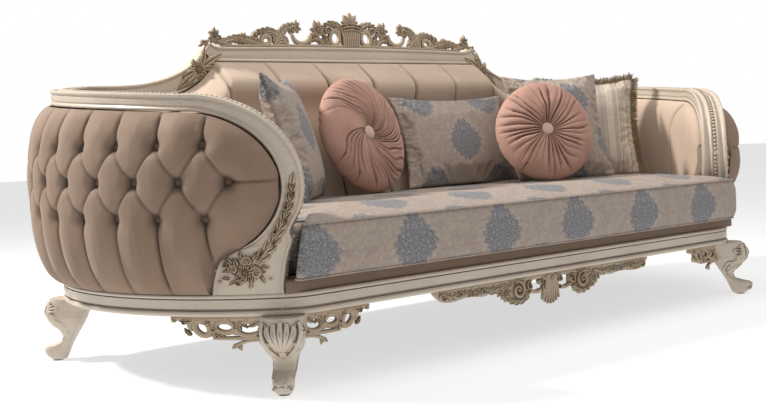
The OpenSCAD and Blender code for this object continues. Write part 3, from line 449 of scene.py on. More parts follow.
def finishPiece(bm, name, finish, body, nodes, sharp=80):
    bmesh.ops.recalc_face_normals(bm, faces=bm.faces)
    mesh = meshOf(bm, name)
    mesh.materials.append(finishes[finish].material)
    mesh.shade_smooth()
    mesh.set_sharp_from_angle(angle=radians(sharp))
    piece = linked(name, mesh)
    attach(piece, body)
    if nodes:
        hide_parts(*nodes)
    return piece


def shell(bm, rows, around, place, paintedShade=None):
    # a grid rolled up into a closed skin: place(s, t) with s along it and t round it, both 0 to 1;
    # the optional last function is kept on the points as painted shade: where it is high the velvet is painted darker
    layer = bm.verts.layers.float.get("paintedShade") or bm.verts.layers.float.new("paintedShade") if paintedShade else None
    verts = bmesh.ops.create_grid(bm, x_segments=rows, y_segments=around, size=0.5)["verts"]
    for v in verts:
        s, t = v.co.x + 0.5, v.co.y + 0.5
        v.co = place(s, t)
        if paintedShade:
            v[layer] = paintedShade(s, t)
    bmesh.ops.remove_doubles(bm, verts=verts, dist=1e-6)
    verts = [v for v in verts if v.is_valid]
    rims = {e for v in verts for e in v.link_edges if e.is_boundary}
    if rims:
        bmesh.ops.holes_fill(bm, edges=list(rims), sides=0)
    return verts


# Carving: tapered strokes, leaves, scrolls and rosettes on a ground(x, y, height) of their own
def curveAt(points, s):
    place = share(s) * (len(points) - 1)
    i = min(int(place), len(points) - 2)
    t = place - i
    a, b = points[max(i - 1, 0)], points[i]
    c, d = points[i + 1], points[min(i + 2, len(points) - 1)]
    return 0.5 * (2 * b + (c - a) * t + (2 * a - 5 * b + 4 * c - d) * t * t
                  + (3 * b - a - 3 * c + d) * t * t * t)


def stroke(bm, ground, points, widths, heights, base=0.0, under=0.0, rows=28, around=12):
    points = [Vector(p) for p in points]

    def place(s, t):
        here = curveAt(points, s)
        way = (curveAt(points, s + 0.01) - curveAt(points, s - 0.01)).normalized()
        across, up = cos(2 * pi * t), sin(2 * pi * t)
        across = copysign(abs(across) ** 0.75, across)
        up = copysign(abs(up) ** 0.75, up)
        x, y = here + Vector((-way.y, way.x)) * across * along(widths, s)
        high = along(heights, s)
        return ground(x, y, base + high * (up if up > 0 else up * under))
    return shell(bm, rows, around, place)


def leaf(bm, ground, root, angle, length, width, height, base=0.0, under=0.0, curl=0.0, lobes=0, rows=18, belly=0.8):
    def place(s, t):
        bend = radians(angle + curl * s)
        middle = radians(angle + curl * s * 0.5)
        spread = sin(pi * min(1.0, 0.04 + 0.96 * s) ** belly) ** 0.75
        if lobes:
            spread *= 0.72 + 0.28 * abs(sin(pi * lobes * s + 0.4)) ** 0.6
        v = 1 - 4 * t if t <= 0.5 else 4 * t - 3
        across = v * (width / 2 * spread + 0.0004)
        x = root[0] + length * s * cos(middle) - across * sin(bend)
        y = root[1] + length * s * sin(middle) + across * cos(bend)
        swell = sqrt(max(0.0, 1 - v * v)) * (1 - 0.5 * exp(-(v / 0.2) ** 2))
        swell *= 0.45 + 0.55 * sin(pi * min(1.0, s + 0.12))
        return ground(x, y, base + height * (swell if t <= 0.5 else -swell * under))
    return shell(bm, rows, 16, place)


def frond(bm, ground, points, width, leaves, reach, height, base=0.0, under=0.0, spread=44, taper=0.5):
    # an acanthus spray: a stem on a broad blade with leaflets along both edges, and one at its tip
    stroke(bm, ground, points, [reach * 0.14, reach * 0.40, reach * 0.34, reach * 0.10],
           [height * 0.45, height * 0.6, height * 0.5, height * 0.3], base, under, rows=20, around=10)
    stroke(bm, ground, points, [width * 0.5, width * 0.45, width * 0.3, width * 0.18],
           [height, height * 0.95, height * 0.8, height * 0.5], base, under, rows=18, around=8)
    points = [Vector(p) for p in points]
    for i in range(leaves + 1):
        s = 0.06 + 0.94 * i / leaves
        here = curveAt(points, s)
        way = curveAt(points, min(1.0, s + 0.02)) - curveAt(points, s - 0.02)
        angle = degrees(atan2(way.y, way.x))
        size = reach * (1 - taper * s)
        if i == leaves:
            leaf(bm, ground, here, angle, size * 1.4, size * 0.8, height * 0.9, base, under, rows=9)
            continue
        for side in (1, -1):
            leaf(bm, ground, here, angle + side * spread, size, size * 0.62, height, base, under,
                 curl=-side * 38, lobes=2 if size > 0.024 else 0, rows=10)


def cluster(bm, ground, centre, radius, height, start=0, base=0.0, under=0.0):  # a flower in a ring of leaves
    for k in range(7):
        a = radians(start + 51.4 * k)
        root = (centre[0] + radius * 0.25 * cos(a), centre[1] + radius * 0.25 * sin(a))
        leaf(bm, ground, root, start + 51.4 * k, radius * (0.72 + 0.12 * (k % 2)), radius * 0.58, height * 0.8, base,
             under, lobes=2, curl=26 if k % 2 else -22, rows=10)
    rosette(bm, ground, centre, radius * 0.62, 6, height, base, under, turned=start + 20)


def loop(bm, ground, centre, rx, ry, tilt, width, height, base=0.0, under=1.0):  # an oval opening's frame
    c, s = cos(radians(tilt)), sin(radians(tilt))
    path = []
    for k in range(21):
        a = 2 * pi * k / 20
        x, y = rx * cos(a), ry * sin(a)
        path.append((centre[0] + x * c - y * s, centre[1] + x * s + y * c))
    stroke(bm, ground, path, [width, width * 1.25, width * 0.9, width * 1.15, width], [height, height * 0.85, height],
           base, under, rows=34, around=10)


def spiral(centre, radius, turns, start, way):
    points = []
    for i in range(23):
        k = i / 22
        a = radians(start) + way * 2 * pi * turns * k
        r = radius * mixed(1.0, 0.18, k ** 0.8)
        points.append((centre[0] + r * cos(a), centre[1] + r * sin(a)))
    return points


def volute(bm, ground, centre, radius, turns, start, way, width, height, base=0.0, under=0.0):
    path = spiral(centre, radius - width / 2, turns, start, way)
    stroke(bm, ground, path, [width * 0.35, width * 0.5, width * 0.42, width * 0.3],
           [height * 0.8, height, height * 0.9, height * 0.8], base, under, rows=30, around=8)
    knob(bm, ground, centre, radius * 0.2, height * 0.95, base, under)


def knob(bm, ground, centre, radius, height, base=0.0, under=0.0):
    def place(s, t):
        a, r = 2 * pi * t, radius * sin(pi * mixed(0.03, 0.97, s))
        up = cos(pi * mixed(0.03, 0.97, s))
        return ground(centre[0] + r * cos(a), centre[1] + r * sin(a),
                      base + height * (up if up > 0 else up * under))
    return shell(bm, 6, 10, place)


def rosette(bm, ground, centre, radius, petals, height, base=0.0, under=0.0, turned=0.0):
    for layer, (reach, count) in enumerate(((1.0, petals), (0.62, petals - 1))):
        for i in range(count):
            leaf(bm, ground, centre, turned + 360 * (i + layer * 0.5) / count, radius * reach, radius * 0.62 * reach,
                 height * (0.55 + 0.3 * layer), base, under, rows=8)
    knob(bm, ground, centre, radius * 0.2, height, base, under)


def carve(bm, ground, unit, marks, base=0.0, under=0.0):
    # a carving from rows of marks: places and widths in millimetres, heights in shares of the unit
    def metres(value):
        return [metres(v) for v in value] if isinstance(value, (list, tuple)) else value / 1000
    for kind, where, *rest in marks:
        where = metres(where)
        if kind == "stroke":
            widths, heights, *rows = rest
            stroke(bm, ground, where, metres(widths), [unit * h for h in heights], base, under, *rows)
        elif kind == "frond":
            width, leaves, reach = rest
            frond(bm, ground, where, width / 1000, leaves, reach / 1000, unit, base, under)
        elif kind == "volute":
            radius, turns, start, way, width, high = rest
            volute(bm, ground, where, radius / 1000, turns, start, way, width / 1000, unit * high, base, under)
        elif kind == "cluster":
            radius, high, start = rest
            cluster(bm, ground, where, radius / 1000, unit * high, start, base, under)
        elif kind == "loop":
            rx, ry, tilt, width = rest
            loop(bm, ground, where, rx / 1000, ry / 1000, tilt, width / 1000, unit)
        elif kind == "knob":
            knob(bm, ground, where, rest[0] / 1000, unit * rest[1], base, under)
        else:
            angle, length, width, high, *more = rest
            curl, lobes, rows = more or (0, 0, 8)
            leaf(bm, ground, where, angle, length / 1000, width / 1000, unit * high, base, under, curl, lobes, rows)


def finishCarving(bm, name, node, finish="carved"):
    return finishPiece(bm, name, finish, "frame", [node], sharp=60)


# Arm posts, arm rails, shoulders and top rail: a moulded band with a lip along both edges
band = {
    "lip": 0.010, "lipHeight": 0.0042, "quirk": 0.0018, "hollow": 0.0080, "groove": 0.0006, "bead": 0.0062,
    "beadStep": 0.0142,
    "edge": [(0, 0.05), (0, 0.10), (0.3, 0.13), (1, 0.19), (1, 0.27), (0.3, 0.33), (0, 0.36), (0.1, 0.40),
        (0.35, 0.43), (0.4, 0.5)]}


def bandProfile(width, thick, fluted):
    # points (across, outwards) round the band, from its inner edge over the outer face and back
    lip, low, quirk = band["lip"], band["lipHeight"], band["quirk"]
    half = [(0.0, -0.5 * low), (0.002, -0.1 * low), (0.005, 0.0), (lip - 0.002, -0.15 * low), (lip, -low),
            (lip + 0.002, -low - quirk * 0.4), (lip + 0.005, -low), (width * 0.35, -low * 0.75)]
    face = half + [(width * 0.5, -low * 0.66)] + [(width - x, y) for x, y in reversed(half[1:])]
    cut = band["hollow"] if fluted else band["groove"]
    edge = [(width - cut * inwards, -thick * deep) for inwards, deep in band["edge"]]
    outer = face + edge
    inner = [(x, -thick - y) for x, y in reversed(outer[:-1])]
    return outer + inner


def bandPiece(name, node, rows, side, thickAt, fluted=True):
    bm = bmesh.new()
    last = len(rows) - 1

    def ringAt(s):
        (q0, z0), (q1, z1) = (tuple(along([Vector(row[i]) for row in rows], s)) for i in (0, 1))
        return Vector((q0, z0)), Vector((q1, z1))

    rings = [ringAt(i / last) for i in range(last + 1)]
    profiles = [bandProfile((outer - inner).length, thickAt(max(inner.x, outer.x)), fluted) for inner, outer in rings]
    count = len(profiles[0])

    def place(s, t):
        i = round(s * last)
        inner, outer = rings[i]
        across, out = profiles[i][round(t * count) % count]
        spot = inner + (outer - inner).normalized() * across
        return onWall(spot.x, out, spot.y, side)
    shell(bm, last, count, place)
    if fluted:
        beadRow(bm, rings, profiles, side)
    return finishPiece(bm, name, "paint", "frame", [node], sharp=50)


def beadRow(bm, rings, profiles, side):
    spots = []
    for (inner, outer), profile in zip(rings, profiles):
        across = (outer - inner).normalized()
        edge = outer - across * band["hollow"] * 0.25
        spots.append(onWall(edge.x, min(p[1] for p in profile) / 2, edge.y, side))
    walked, nextBead = 0.0, band["beadStep"]
    for a, b in zip(spots, spots[1:]):
        gap = (b - a).length
        while nextBead <= walked + gap:
            here = mixed(a, b, (nextBead - walked) / gap)
            bmesh.ops.create_icosphere(bm, subdivisions=1, radius=band["bead"], matrix=Matrix.Translation(here))
            nextBead += band["beadStep"]
        walked += gap


def noseRow(a):
    inner = (arm["noseQ"] - noseIn * cos(a), arm["noseZ"] + (arm["height"] - arm["band"] - arm["noseZ"]) * sin(a))
    outer = (arm["noseQ"] - (noseIn + arm["noseWidth"]) * cos(a),
             arm["noseZ"] + (arm["height"] - arm["noseZ"]) * sin(a))
    return inner, outer


def postRows():
    rows, low = [], rise["railTop"]
    for i in range(25):
        t = radians(90 - 90 * i / 24)
        rows.append(((arm["footQ"] - arm["footRound"] + arm["footRound"] * sin(t), low + arm["footHeight"] * cos(t)),
                     (-0.008 - 0.026 * cos(t) ** 2, low + 0.128 * cos(t))))
    for i in range(24):
        a = -46 + 46 * i / 23
        k = (a + 46) / 46
        inner, outer = noseRow(radians(a))
        blend = min(1.0, k * 1.6)
        start = (-0.036 - 0.030 * k, low + 0.140 + (arm["noseZ"] - low - 0.140) * k)
        rows.append((inner, (mixed(start[0], outer[0], blend), mixed(start[1], outer[1], blend))))
    return rows


def railRows():
    rows = [noseRow(radians(90 * i / 32)) for i in range(33)]
    steps = [mixed(arm["noseQ"], endLength, i / 26) for i in range(1, 27)]
    steps += [mixed(endLength, backQ, i / 20) for i in range(1, 21)]
    return rows + [((q, armLow(q)), (q, armTop(q))) for q in steps]


def armThickness(q):
    return mixed(arm["thick"], back["thick"], share((q - endLength * 0.7) / (backQ - endLength * 0.7)))


for side, word in sides:
    bandPiece(f"armPost_{word}", f"arm_post_{word}", postRows(), side, armThickness)
    bandPiece(f"armRail_{word}", f"arm_rail_{word}", railRows(), side, armThickness)


def backX(x):  # the band's q for a place along the back
    return backQ + rearCentre.x - x


def shoulderRows():
    rows = []
    for i in range(41):
        k = i / 40
        x = mixed(rearCentre.x, back["halfRail"], k)
        lowX = x - 0.012 * k ** 3
        rows.append(((backX(lowX), shoulderLow(lowX)), (backX(x), shoulderTop(x))))
    return rows


def topRailRows():
    rows = []
    places = [1, 0.995, 0.985, 0.97, 0.945] + [0.9 - 0.05 * i for i in range(18)]
    for k in places + [0.0] + [-k for k in reversed(places)]:
        x = k * back["halfRail"]
        inner = (backX(x - 0.012 * k), back["height"] - back["railHeight"])
        rows.append((inner, (backX(x), back["height"] + railArch(x))))
    return rows


for side, word in sides:
    bandPiece(f"shoulder_{word}", f"back_shoulder_{word}", shoulderRows(), side, lambda q: back["thick"], fluted=False)
bandPiece("topRail", "back_top_rail", topRailRows(), 1, lambda q: back["thick"], fluted=False)
print("bands made")

# Cabriole legs, drawn like the solid ones by inner face, outer face and half width at each height
legs = {
    "lines": [[0, 14, 58, 20], [0.05, 8, 70, 25], [0.11, 3, 78, 27], [0.17, -2, 80, 28], [0.215, -6, 72, 28],
        [0.25, -9, 46, 28], [0.29, -14, 24, 28], [0.38, -24, 16, 30], [0.48, -36, 26, 36], [0.58, -48, 44, 45],
        [0.69, -58, 58, 54], [0.8, -68, 62, 55], [0.88, -88, 59, 56], [0.94, -108, 54, 57], [1, -110, 50, 57]],
    "glide": 0.004, "squareness": 0.7, "turns": (42.5, 136), "kneeHeight": 0.53}


def legLine(t):
    lines = legs["lines"]
    t = share(t)
    i = max(k for k in range(len(lines) - 1) if lines[k][0] <= t + 1e-9)
    a, b = lines[i], lines[i + 1]
    k = (t - a[0]) / (b[0] - a[0])
    k = mixed(k, k * k * (3 - 2 * k), 0.35)
    return [mixed(a[j], b[j], k) / 1000 for j in (1, 2, 3)]


def legSurface(turned, foot, side):
    # the leg's skin: angle round it (0 is outwards), share of its height, and distance off it
    out = turn(turned)
    across = Vector((-out.y, out.x))

    def point(a, t, off=0.0):
        near, far, half = legLine(t)
        c, s = cos(a), sin(a)
        c = copysign(abs(c) ** legs["squareness"], c)
        s = copysign(abs(s) ** legs["squareness"], s)
        reach = (near + far) / 2 + c * ((far - near) / 2 + off)
        spot = foot + out * reach + across * s * (half + off)
        return Vector((spot.x * side, spot.y, legs["glide"] + t * (rise["rail"] - legs["glide"])))
    return point


def legPiece(name, node, side, which, carved):
    turned = legs["turns"][which]
    foot = wall(0, 0) if which == 0 else rearCentre + plan["rearRadius"] * turn(turned)
    point = legSurface(turned, foot, side)
    tall = rise["rail"] - legs["glide"]
    bm = bmesh.new()

    def place(s, t):
        return point(2 * pi * t, s)
    shell(bm, 60, 72, place)

    def skin(x, y, h):  # carving on the knee: x across and y up, in metres from the foot of the shell
        t = legs["kneeHeight"] + y / tall
        u = abs(x) / legLine(t)[2]
        a = asin(u ** (1 / legs["squareness"])) if u < 0.97 else radians(73 + (u - 0.97) * 90)
        return point(copysign(a, x), t, h)
    deep = 0.011 if carved else 0.006
    for k in (0, -1, 1, -2, 2):
        lean = 11 * k
        tip = (0.0155 * k, 0.084 - 0.006 * abs(k))
        stroke(bm, skin, [(0.0012 * k, 0.001), (0.0085 * k, 0.026), (0.0150 * k, 0.056), tip],
               [0.0022, 0.0062, 0.0086 - 0.0006 * abs(k), 0.0050], [deep * 0.5, deep * 0.9, deep, deep * 0.6],
               rows=16, around=10)
        leaf(bm, skin, (0.0105 * k, 0.034), 90 - lean, 0.046, 0.006, deep * 1.25, rows=9)
    knob(bm, skin, (0, -0.002), 0.0105, deep)
    leaf(bm, skin, (0, 0.006), -90, 0.024, 0.020, deep * 0.7, rows=9)
    for way in (-1, 1):
        stroke(bm, skin, [(way * 0.043, 0.080), (way * 0.046, 0.050), (way * 0.034, 0.016), (way * 0.012, -0.010)],
               [0.0046, 0.0050, 0.0046, 0.0036], [deep * 0.8, deep * 0.8, deep * 0.7, deep * 0.5], rows=18, around=8)
        volute(bm, skin, (way * 0.052, 0.060), 0.014, 1.3, 90, way, 0.006, deep * 0.9)
        leaf(bm, skin, (way * 0.050, 0.046), -90 - way * 8, 0.060, 0.020, deep * 0.8, lobes=3, rows=14)
        leaf(bm, skin, (way * 0.034, 0.030), -90 + way * 10, 0.050, 0.012, deep * 0.6, rows=10)
        if carved:
            path = [(way * 0.058, 0.020), (way * 0.050, -0.012), (way * 0.036, -0.040), (way * 0.028, -0.062)]
            stroke(bm, skin, path, [0.0026, 0.0034, 0.0026, 0.0014], [0.004, 0.005, 0.004, 0.002])
            leaf(bm, skin, (0, -0.074), 90 + way * 40, 0.022, 0.012, 0.006, rows=9)
            volute(bm, skin, (way * 0.020, -0.084), 0.009, 1.2, 90, way, 0.0045, 0.006)
    if carved:
        leaf(bm, skin, (0, -0.078), 90, 0.030, 0.014, 0.007, belly=1.2, rows=10)
        knob(bm, skin, (0, -0.080), 0.005, 0.006)
    return finishCarving(bm, name, node, "paint")


for side, word in sides:
    legPiece(f"frontLeg_{word}", f"leg_front_{word}", side, 0, True)
    legPiece(f"rearLeg_{word}", f"leg_rear_{word}", side, 1, False)
print("legs made")

# Brackets beside the front legs: open scrolls under a strip, with a bough and a twig below
bracket = {
    "gap": 0.066, "deep": 0.018, "inset": 0.014, "end": 0.280, "front": 0.236, "stretch": 1.2,
    "frame": [("stroke", [(-6, -8), (100, -9), (160, -8), (206, -5)], [9, 9, 8, 4], [1, 0.9, 0.7], 12),
        ("loop", (26, -34), 28, 19, -4, 6.6), ("loop", (82, -30), 22, 15, 6, 7.0),
        ("loop", (134, -32), 15, 22, -38, 7.4), ("stroke", [(52, -10), (54, -30), (60, -50)], [8, 6, 8], [0.9] * 3),
        ("stroke", [(108, -10), (109, -30), (106, -46)], [9, 6, 7], [0.9] * 3),
        ("stroke", [(150, -8), (162, -22), (158, -40)], [10, 8, 4], [0.9] * 3),
        ("stroke", [(-4, -10), (-4, -30), (2, -54)], [10, 8, 10], [0.9] * 3),
        ("stroke", [(-12, -52), (30, -59), (75, -60), (104, -59)], [8.5, 6.2, 5.2, 5.0], [1, 0.8, 0.7]),
        ("stroke", [(104, -62), (107, -52), (106, -40)], [5.6, 5.6, 4], [0.9, 0.8, 0.6], 10),
        ("stroke", [(-14, -62), (10, -64), (36, -69), (58, -80)], [8, 5.6, 4.6, 6], [1, 0.8, 0.6, 0.6]),
        ("stroke", [(-8, -4), (-10, -30), (-12, -60)], [8, 8, 6], [1, 1, 0.7]), ("leaf", (52, -76), 250, 18, 12, 0.7),
        ("leaf", (54, -76), 320, 18, 12, 0.7)],
    "leaves": [(52, -20, 250, 30), (56, -14, 205, 34), (108, -18, 245, 28), (110, -14, 335, 30), (104, -46, 200, 30),
        (0, -14, 320, 36), (150, -10, 345, 40), (160, -52, 40, 26)],
    "volutes": [(56, -30, 11), (108, -36, 10), (4, -52, 10), (176, -16, 11)],
    "knobs": [(70, -12), (124, -11), (200, -12), (30, -12)]}


def bracketPiece(side, word):
    bm = bmesh.new()
    thick = bracket["deep"] / 2
    corner = wall(0, -bracket["inset"])
    endPoint = wall(bracket["end"], -bracket["inset"])
    frontPoint = Vector((corner.x - bracket["front"], frontY + bracket["inset"]))
    marks = bracket["frame"] + [("knob", place, 6, 1.2) for place in bracket["knobs"]]
    for far, length, flip in ((endPoint, bracket["end"], 1), (frontPoint, bracket["front"], -1)):
        way = (far - corner).normalized()
        outwards = Vector((way.y, -way.x)) * flip
        small = (length - bracket["gap"]) / (bracket["end"] - bracket["gap"])

        def ground(x, y, h, way=way, outwards=outwards, small=small):
            p = corner + way * (bracket["gap"] + x * bracket["stretch"] * small) - outwards * (thick - h)
            return Vector((p.x * side, p.y, rise["rail"] + y))
        carve(bm, ground, thick, marks, under=1.0)
        carve(bm, ground, thick, [("leaf", (x, y), angle, length, length * 0.42, 1.25, 24, 2, 10)
                                  for x, y, angle, length in bracket["leaves"]], under=0.8)
        carve(bm, ground, thick, [("volute", (x, y), r, 1.2, 60, 1, r * 0.42, 1.2)
                                  for x, y, r in bracket["volutes"]], under=0.9)
    return finishCarving(bm, f"bracketCarving_{word}", f"bracket_{word}")


for side, word in sides:
    bracketPiece(side, word)


# Apron ornament under the front rail: a ground with a wavy edge, covered in scrolls, sprays and a fan
apron = {
    "drop": 0.106, "deep": 0.018, "inset": 0.014, "flutes": 7,
    "edge": [(0.088, 0.048), (0.12, 0.064), (0.155, 0.074), (0.19, 0.066), (0.225, 0.042), (0.26, 0.036),
        (0.30, 0.040), (0.34, 0.033), (0.38, 0.036), (0.42, 0.040), (0.455, 0.037), (0.478, 0.024), (0.492, 0.010)],
    "strips": [("stroke", [(0, -7), (220, -7), (472, -7)], [9, 8, 6], [1, 0.9, 0.8], 14),
        ("stroke", [(45, -50), (68, -53), (95, -46)], [7, 6, 7], [1, 1, 1]),
        ("leaf", (34, -34), 250, 50, 20, 1.2, 20, 3, 18)], "knot": ("volute", (46, -22), 17, 1.3, 90, 1, 8, 1.3),
    "relief": [("volute", (150, -38), 36, 1.6, 60, 1, 13, 1.5), ("volute", (98, -30), 20, 1.3, 120, -1, 8, 1.3),
        ("frond", [(100, -52), (140, -71), (185, -64), (212, -36)], 9, 6, 26),
        ("frond", [(120, -6), (165, -8), (200, -20), (225, -38)], 8, 5, 24),
        ("frond", [(205, -14), (250, -26), (300, -20), (345, -28)], 9, 7, 26),
        ("frond", [(470, -12), (430, -24), (385, -16), (340, -20)], 9, 7, 26),
        ("volute", (300, -24), 14, 1.3, 200, -1, 6, 1.2), ("volute", (392, -22), 13, 1.3, 20, 1, 6, 1.2),
        ("volute", (462, -20), 19, 1.4, 180, 1, 9, 1.3), ("knob", (250, -12), 6, 1), ("knob", (345, -10), 6, 1),
        ("knob", (425, -12), 7, 1), ("knob", (198, -50), 7, 1), ("cluster", (205, -40), 26, 1.3, 10),
        ("cluster", (318, -20), 17, 1, 30)]}


def apronPiece():
    bm = bmesh.new()
    middle = frontY + apron["inset"] + apron["deep"] / 2
    thick = apron["deep"] / 2
    edge = [Vector(p) for p in apron["edge"]]

    def ground(x, y, h):
        return Vector((x, middle - h, rise["rail"] + y))
    for side in (-1, 1):
        def half(x, y, h, side=side):
            return ground(x * side, y, h)

        def plate(s, t):
            x, deep = curveAt(edge, s)
            c, q = cos(2 * pi * t), sin(2 * pi * t)
            y = -deep / 2 + deep / 2 * copysign(abs(c) ** 0.5, c)
            return half(x, y, copysign(abs(q) ** 0.5, q) * (thick * 0.62 if q > 0 else thick))
        shell(bm, 120, 20, plate)
        carve(bm, half, thick, apron["strips"], under=1.0)
        carve(bm, half, thick, apron["relief"], base=thick * 0.3)
        carve(bm, half, thick, [apron["knot"]], under=0.8)
    for i in range(apron["flutes"]):
        lean = (i - 3) / 3
        tip = (0.037 * lean, -apron["drop"] + 0.008 + 0.016 * lean * lean)
        stroke(bm, ground, [(0.018 * lean, -0.006), (0.026 * lean, -0.050), tip], [0.0055, 0.0078, 0.0062, 0.003],
               [thick * 1.35, thick * 1.5, thick * 0.8], under=0.7, rows=16)
    rosette(bm, ground, (0, -0.014), 0.024, 7, 0.009, base=thick * 0.9)
    for way in (-1, 1):
        rosette(bm, ground, (way * 0.030, -0.010), 0.014, 6, 0.006, base=thick * 0.9)
    return finishCarving(bm, "apronCarving", "apron_carving")


apronPiece()

# Cresting on the top rail: open scrolls, flowers and acanthus that rise to a fluted palmette
crest = {
    "deep": 0.018, "inset": 0.026, "rail": ("stroke", [(0, 6), (280, 6), (562, 5)], [5.8, 5.5, 4], [1, 1, 0.8], 24),
    "sprays": [([(34, 58), (58, 78), (90, 88), (120, 80)], 9, 5, 30), ([(104, 6), (112, 26), (122, 42)], 9, 3, 26),
        ([(124, 8), (150, 28), (176, 28), (204, 12)], 9, 4, 26),
        ([(344, 8), (322, 40), (296, 66), (262, 78)], 11, 6, 40),
        ([(284, 6), (322, 36), (366, 56), (412, 52)], 11, 7, 38),
        ([(396, 8), (446, 22), (500, 32), (556, 22)], 10, 8, 34),
        ([(560, 12), (530, 24), (500, 22), (476, 10)], 9, 4, 26),
        ([(520, 6), (560, 16), (600, 20), (636, 6)], 10, 5, 28)],
    "scrolls": [("loop", (74, 36), 22, 27, 10, 8.5), ("loop", (380, 24), 19, 15, -12, 8),
        ("volute", (106, 62), 24, 1.4, 240, -1, 11, 1.2), ("volute", (262, 62), 23, 1.4, 300, 1, 11, 1.2),
        ("volute", (424, 38), 21, 1.4, 130, -1, 10, 1.1), ("volute", (630, 14), 15, 1.3, 40, -1, 8, 1),
        ("volute", (40, 76), 16, 1.3, 200, -1, 8, 1.3),
        ("stroke", [(182, 52), (194, 26), (222, 14), (252, 22), (266, 44)], [7, 9.5, 8, 8.5, 6], [1, 1, 0.8])],
    "flowers": [(152, 64, 36, 1.3, 10), (250, 72, 26, 1.2, 40), (470, 30, 23, 1.2, 0), (588, 38, 27, 1.3, 30)],
    "palmette": [(90, 50, 32), (54, 50, 28), (126, 50, 28), (22, 42, 24), (158, 42, 24)]}


def crestPiece():
    bm = bmesh.new()
    middle = backY - crest["inset"] - crest["deep"] / 2
    thick = crest["deep"] / 2

    def ground(x, y, h):
        lift = railArch(min(abs(x), 0.596)) + 0.0006
        return Vector((x, middle - h, back["height"] + lift + y))
    marks = crest["scrolls"] + [("frond", *spray) for spray in crest["sprays"]]
    marks += [("cluster", (x, y), r, high, start) for x, y, r, high, start in crest["flowers"]]
    for side in (-1, 1):
        def half(x, y, h, side=side):
            return ground(x * side, y, h)
        carve(bm, half, thick, [crest["rail"]], under=1.0)
        carve(bm, half, thick, marks, under=0.9)
    for i in range(9):
        lean = (i - 4) / 4
        stroke(bm, ground, [(0.034 * lean, 0.004), (0.036 * lean, 0.036), (0.042 * lean, 0.082 - 0.008 * lean * lean)],
               [0.0052, 0.0056, 0.0064, 0.0045], [thick * 1.4, thick * 1.5, thick * 1.1], under=0.8, rows=14)
    bands = [("stroke", [(-40, y - 4), (0, y), (40, y - 4)], [3, 4.2, 3], [1.6] * 3) for y in (66, 78)]
    carve(bm, ground, thick, bands, under=0.8)
    for angle, reach, width in crest["palmette"]:
        leaf(bm, ground, (0, 0.082), angle, reach / 1000, width / 1000, thick * 1.5, under=1.0, belly=1.1, lobes=2)
    cluster(bm, ground, (0, 0.088), 0.026, thick * 1.2, 18, base=thick * 0.4)
    return finishCarving(bm, "crestCarving", "crest_carving")


crestPiece()

# Carving on the arm's post: a flower with scrolls on its foot and a spray that climbs the band
postCarving = {
    "rosetteQ": 0.092, "rosetteUp": 0.060, "depth": 0.013,
    "volutes": [(-30, -4, 22, 20, 1), (-4, 26, 19, 200, -1), (30, 6, 18, 320, 1), (16, -28, 14, 30, -1),
        (-40, 32, 14, 140, 1), (52, 18, 11, 90, 1)],
    "leaves": [(32, 18, 50, 26), (40, 0, 10, 22), (12, 30, 100, 24), (-18, 34, 150, 26), (-44, 12, 205, 22),
        (-40, -12, 250, 24), (-14, -26, 290, 20), (22, -26, 350, 26), (44, -20, 20, 20)],
    "knobs": [(78, 4), (70, -26), (-66, -22)],
    "climb": [(0.058, 0.080), (0.022, 0.124), (-0.006, 0.170), (-0.030, 0.222), (-0.041, 0.276)]}


def postCarvingPiece(side, word):
    bm = bmesh.new()
    tall = postCarving["depth"]

    def skin(x, y, h):
        return onWall(x, h - band["lipHeight"], rise["railTop"] + y, side)

    def ground(x, y, h):
        return skin(postCarving["rosetteQ"] + x, postCarving["rosetteUp"] + y, h)
    marks = [("cluster", (-2, -2), 26, 1.25, 12)]
    for k in range(11):
        a = 32.7 * k + 8
        root = (26 * cos(radians(a)), 19 * sin(radians(a)))
        marks.append(("leaf", root, a + 50, 22 + 4 * (k % 3), 17, 1, -60 if k % 2 else 60, 2, 10))
    marks += [("volute", (x, y), r, 1.5, start, way, r * 0.52, 1) for x, y, r, start, way in postCarving["volutes"]]
    marks += [("leaf", (x, y), a, length, length * 0.6, 0.9, -24, 2, 10) for x, y, a, length in postCarving["leaves"]]
    marks += [("knob", place, 5, 0.7) for place in postCarving["knobs"]]
    carve(bm, ground, tall, marks)
    climb = postCarving["climb"]
    frond(bm, skin, climb, 0.011, 9, 0.038, tall * 0.9, spread=36, taper=0.35)
    for k in range(6):
        here = curveAt([Vector(p) for p in climb], 0.14 + 0.15 * k)
        volute(bm, skin, (here.x + 0.008 * (-1) ** k, here.y), 0.010, 1.2, 90 + 180 * (k % 2), 1, 0.0045, tall * 1.1)
    return finishCarving(bm, f"postCarving_{word}", f"post_carving_{word}")


# Flower and acanthus at the foot of each shoulder
shoulderCarving = {
    "turned": 142, "from": 0.052, "up": 0.037, "unit": 0.014,
    "leaves": [((14, 0), 4, 98, 26, 10), ((12, -6), -20, 70, 22, -26), ((12, 6), 24, 62, 20, 28),
        ((-14, 0), 184, 90, 24, -10), ((-12, 6), 162, 62, 20, 26), ((-12, -6), 206, 54, 18, -28),
        ((40, 6), 34, 44, 16, 40), ((-40, 0), 150, 40, 16, 40)]}


